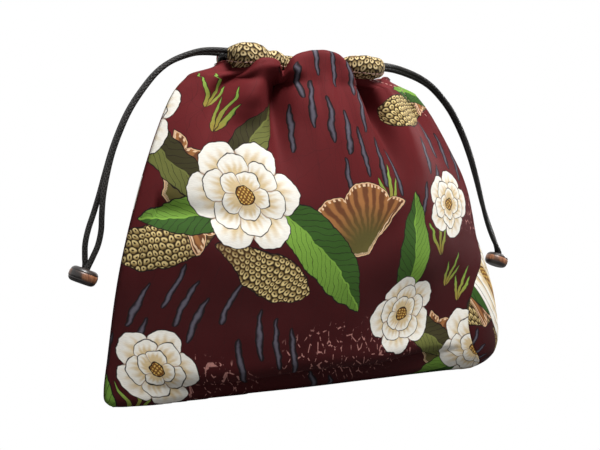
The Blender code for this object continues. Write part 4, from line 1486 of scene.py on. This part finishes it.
stitch_row("front_casing_stitches", casing_seam(FRONT_CASING_POINTS, -1), 3.0 * MM, 2.3 * MM)
stitch_row("back_casing_stitches", casing_seam(BACK_CASING_POINTS, 1), 3.0 * MM, 2.3 * MM)


def shoulder_line(points, normals, heights, shares):
    """Points on the front from the end of the casing down one shoulder."""
    columns = points.shape[1] - 1
    spots = []
    for height, share in zip(heights, shares):
        column = int(round(share * columns))
        row = int(np.argmin(np.abs(points[:, column, 2] - height)))
        spots.append(points[row, column] + normals[row, column] * (CLOTH + THREAD * 0.25))
    return read_smooth([tuple(spot) for spot in spots], 90)


FRONT_NORMALS = grid_normals(FRONT_POINTS, False)
stitch_row("right_shoulder_stitches",
           shoulder_line(FRONT_POINTS, FRONT_NORMALS, (0.1808, 0.1795, 0.1765, 0.1725, 0.1680, 0.1640),
                         (0.80, 0.84, 0.875, 0.905, 0.935, 0.960)), 3.2 * MM, 2.2 * MM)
print("stitches sewn")

# %% [markdown]
# ## Floor and light
# The pouch stands on plain white. The camera sees the floor and the surroundings as pure white, while the
# light itself meets a grey matt floor and a dim room, so the folds keep their shade. One large soft lamp
# above the front draws the gathers, and the foot of the pouch falls into shade.

# %% Floor and light


def make_floor():
    material, net, shader = new_material("white_floor")
    tree = material.node_tree
    rays = net.node("ShaderNodeLightPath")
    glow = net.node("ShaderNodeEmission")
    glow.inputs["Color"].default_value = (1.0, 1.0, 1.0, 1.0)
    glow.inputs["Strength"].default_value = 1.0
    shader.inputs["Base Color"].default_value = (0.18, 0.18, 0.18, 1.0)
    shader.inputs["Roughness"].default_value = 1.0
    shader.inputs["Specular IOR Level"].default_value = 0.0
    both = net.node("ShaderNodeMixShader")
    tree.links.new(rays.outputs["Is Camera Ray"], both.inputs[0])
    tree.links.new(shader.outputs[0], both.inputs[1])
    tree.links.new(glow.outputs[0], both.inputs[2])
    tree.links.new(both.outputs[0], tree.nodes["Material Output"].inputs["Surface"])
    mesh = bpy.data.meshes.new("floor")
    half = 3.0
    mesh.from_pydata([(-half, -half, 0.0), (half, -half, 0.0), (half, half, 0.0), (-half, half, 0.0)], [],
                     [(0, 1, 2, 3)])
    mesh.materials.append(material)
    floor = bpy.data.objects.new("floor", mesh)
    bpy.context.scene.collection.objects.link(floor)
    floor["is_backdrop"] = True


def make_world():
    world = bpy.data.worlds.new("white_room")
    world.use_nodes = True
    net = Net(world.node_tree)
    background = world.node_tree.nodes["Background"]
    rays = net.node("ShaderNodeLightPath")
    seen = net.math("MAXIMUM", rays.outputs["Is Camera Ray"],
                    net.math("MAXIMUM", rays.outputs["Is Glossy Ray"], rays.outputs["Is Transmission Ray"]))
    background.inputs["Color"].default_value = (1.0, 1.0, 1.0, 1.0)
    net.feed(background.inputs["Strength"], net.math("MULTIPLY_ADD", seen, 0.82, 0.18))
    bpy.context.scene.world = world


def make_lamp(name, place, target, size, power):
    data = bpy.data.lights.new(name, "AREA")
    data.shape = "DISK"
    data.size = size
    data.energy = power
    lamp = bpy.data.objects.new(name, data)
    lamp.location = place
    lamp.rotation_euler = (Vector(target) - Vector(place)).to_track_quat("-Z", "Y").to_euler()
    bpy.context.scene.collection.objects.link(lamp)


make_floor()
make_world()
make_lamp("soft_key", place=(0.02, -0.40, 0.86), target=(0.0, 0.0, 0.13), size=0.34, power=12.5)
make_lamp("right_rim", place=(0.85, 0.16, 0.35), target=(0.10, 0.0, 0.08), size=0.30, power=4.0)
bpy.context.scene.view_settings.view_transform = "Standard"
print("stage and lamps ready")

# %% [markdown]
# ## Finish
# The dressed pouch must fill the same space as its solids, so both boxes are written down before the frame
# takes over.

# %% Sizes and finish
DRESSED_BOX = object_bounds()
for name, corners in (("cad", CAD_BOX), ("dressed", DRESSED_BOX)):
    print(name, [[round(float(value) * 1000, 1) for value in corner] for corner in corners])
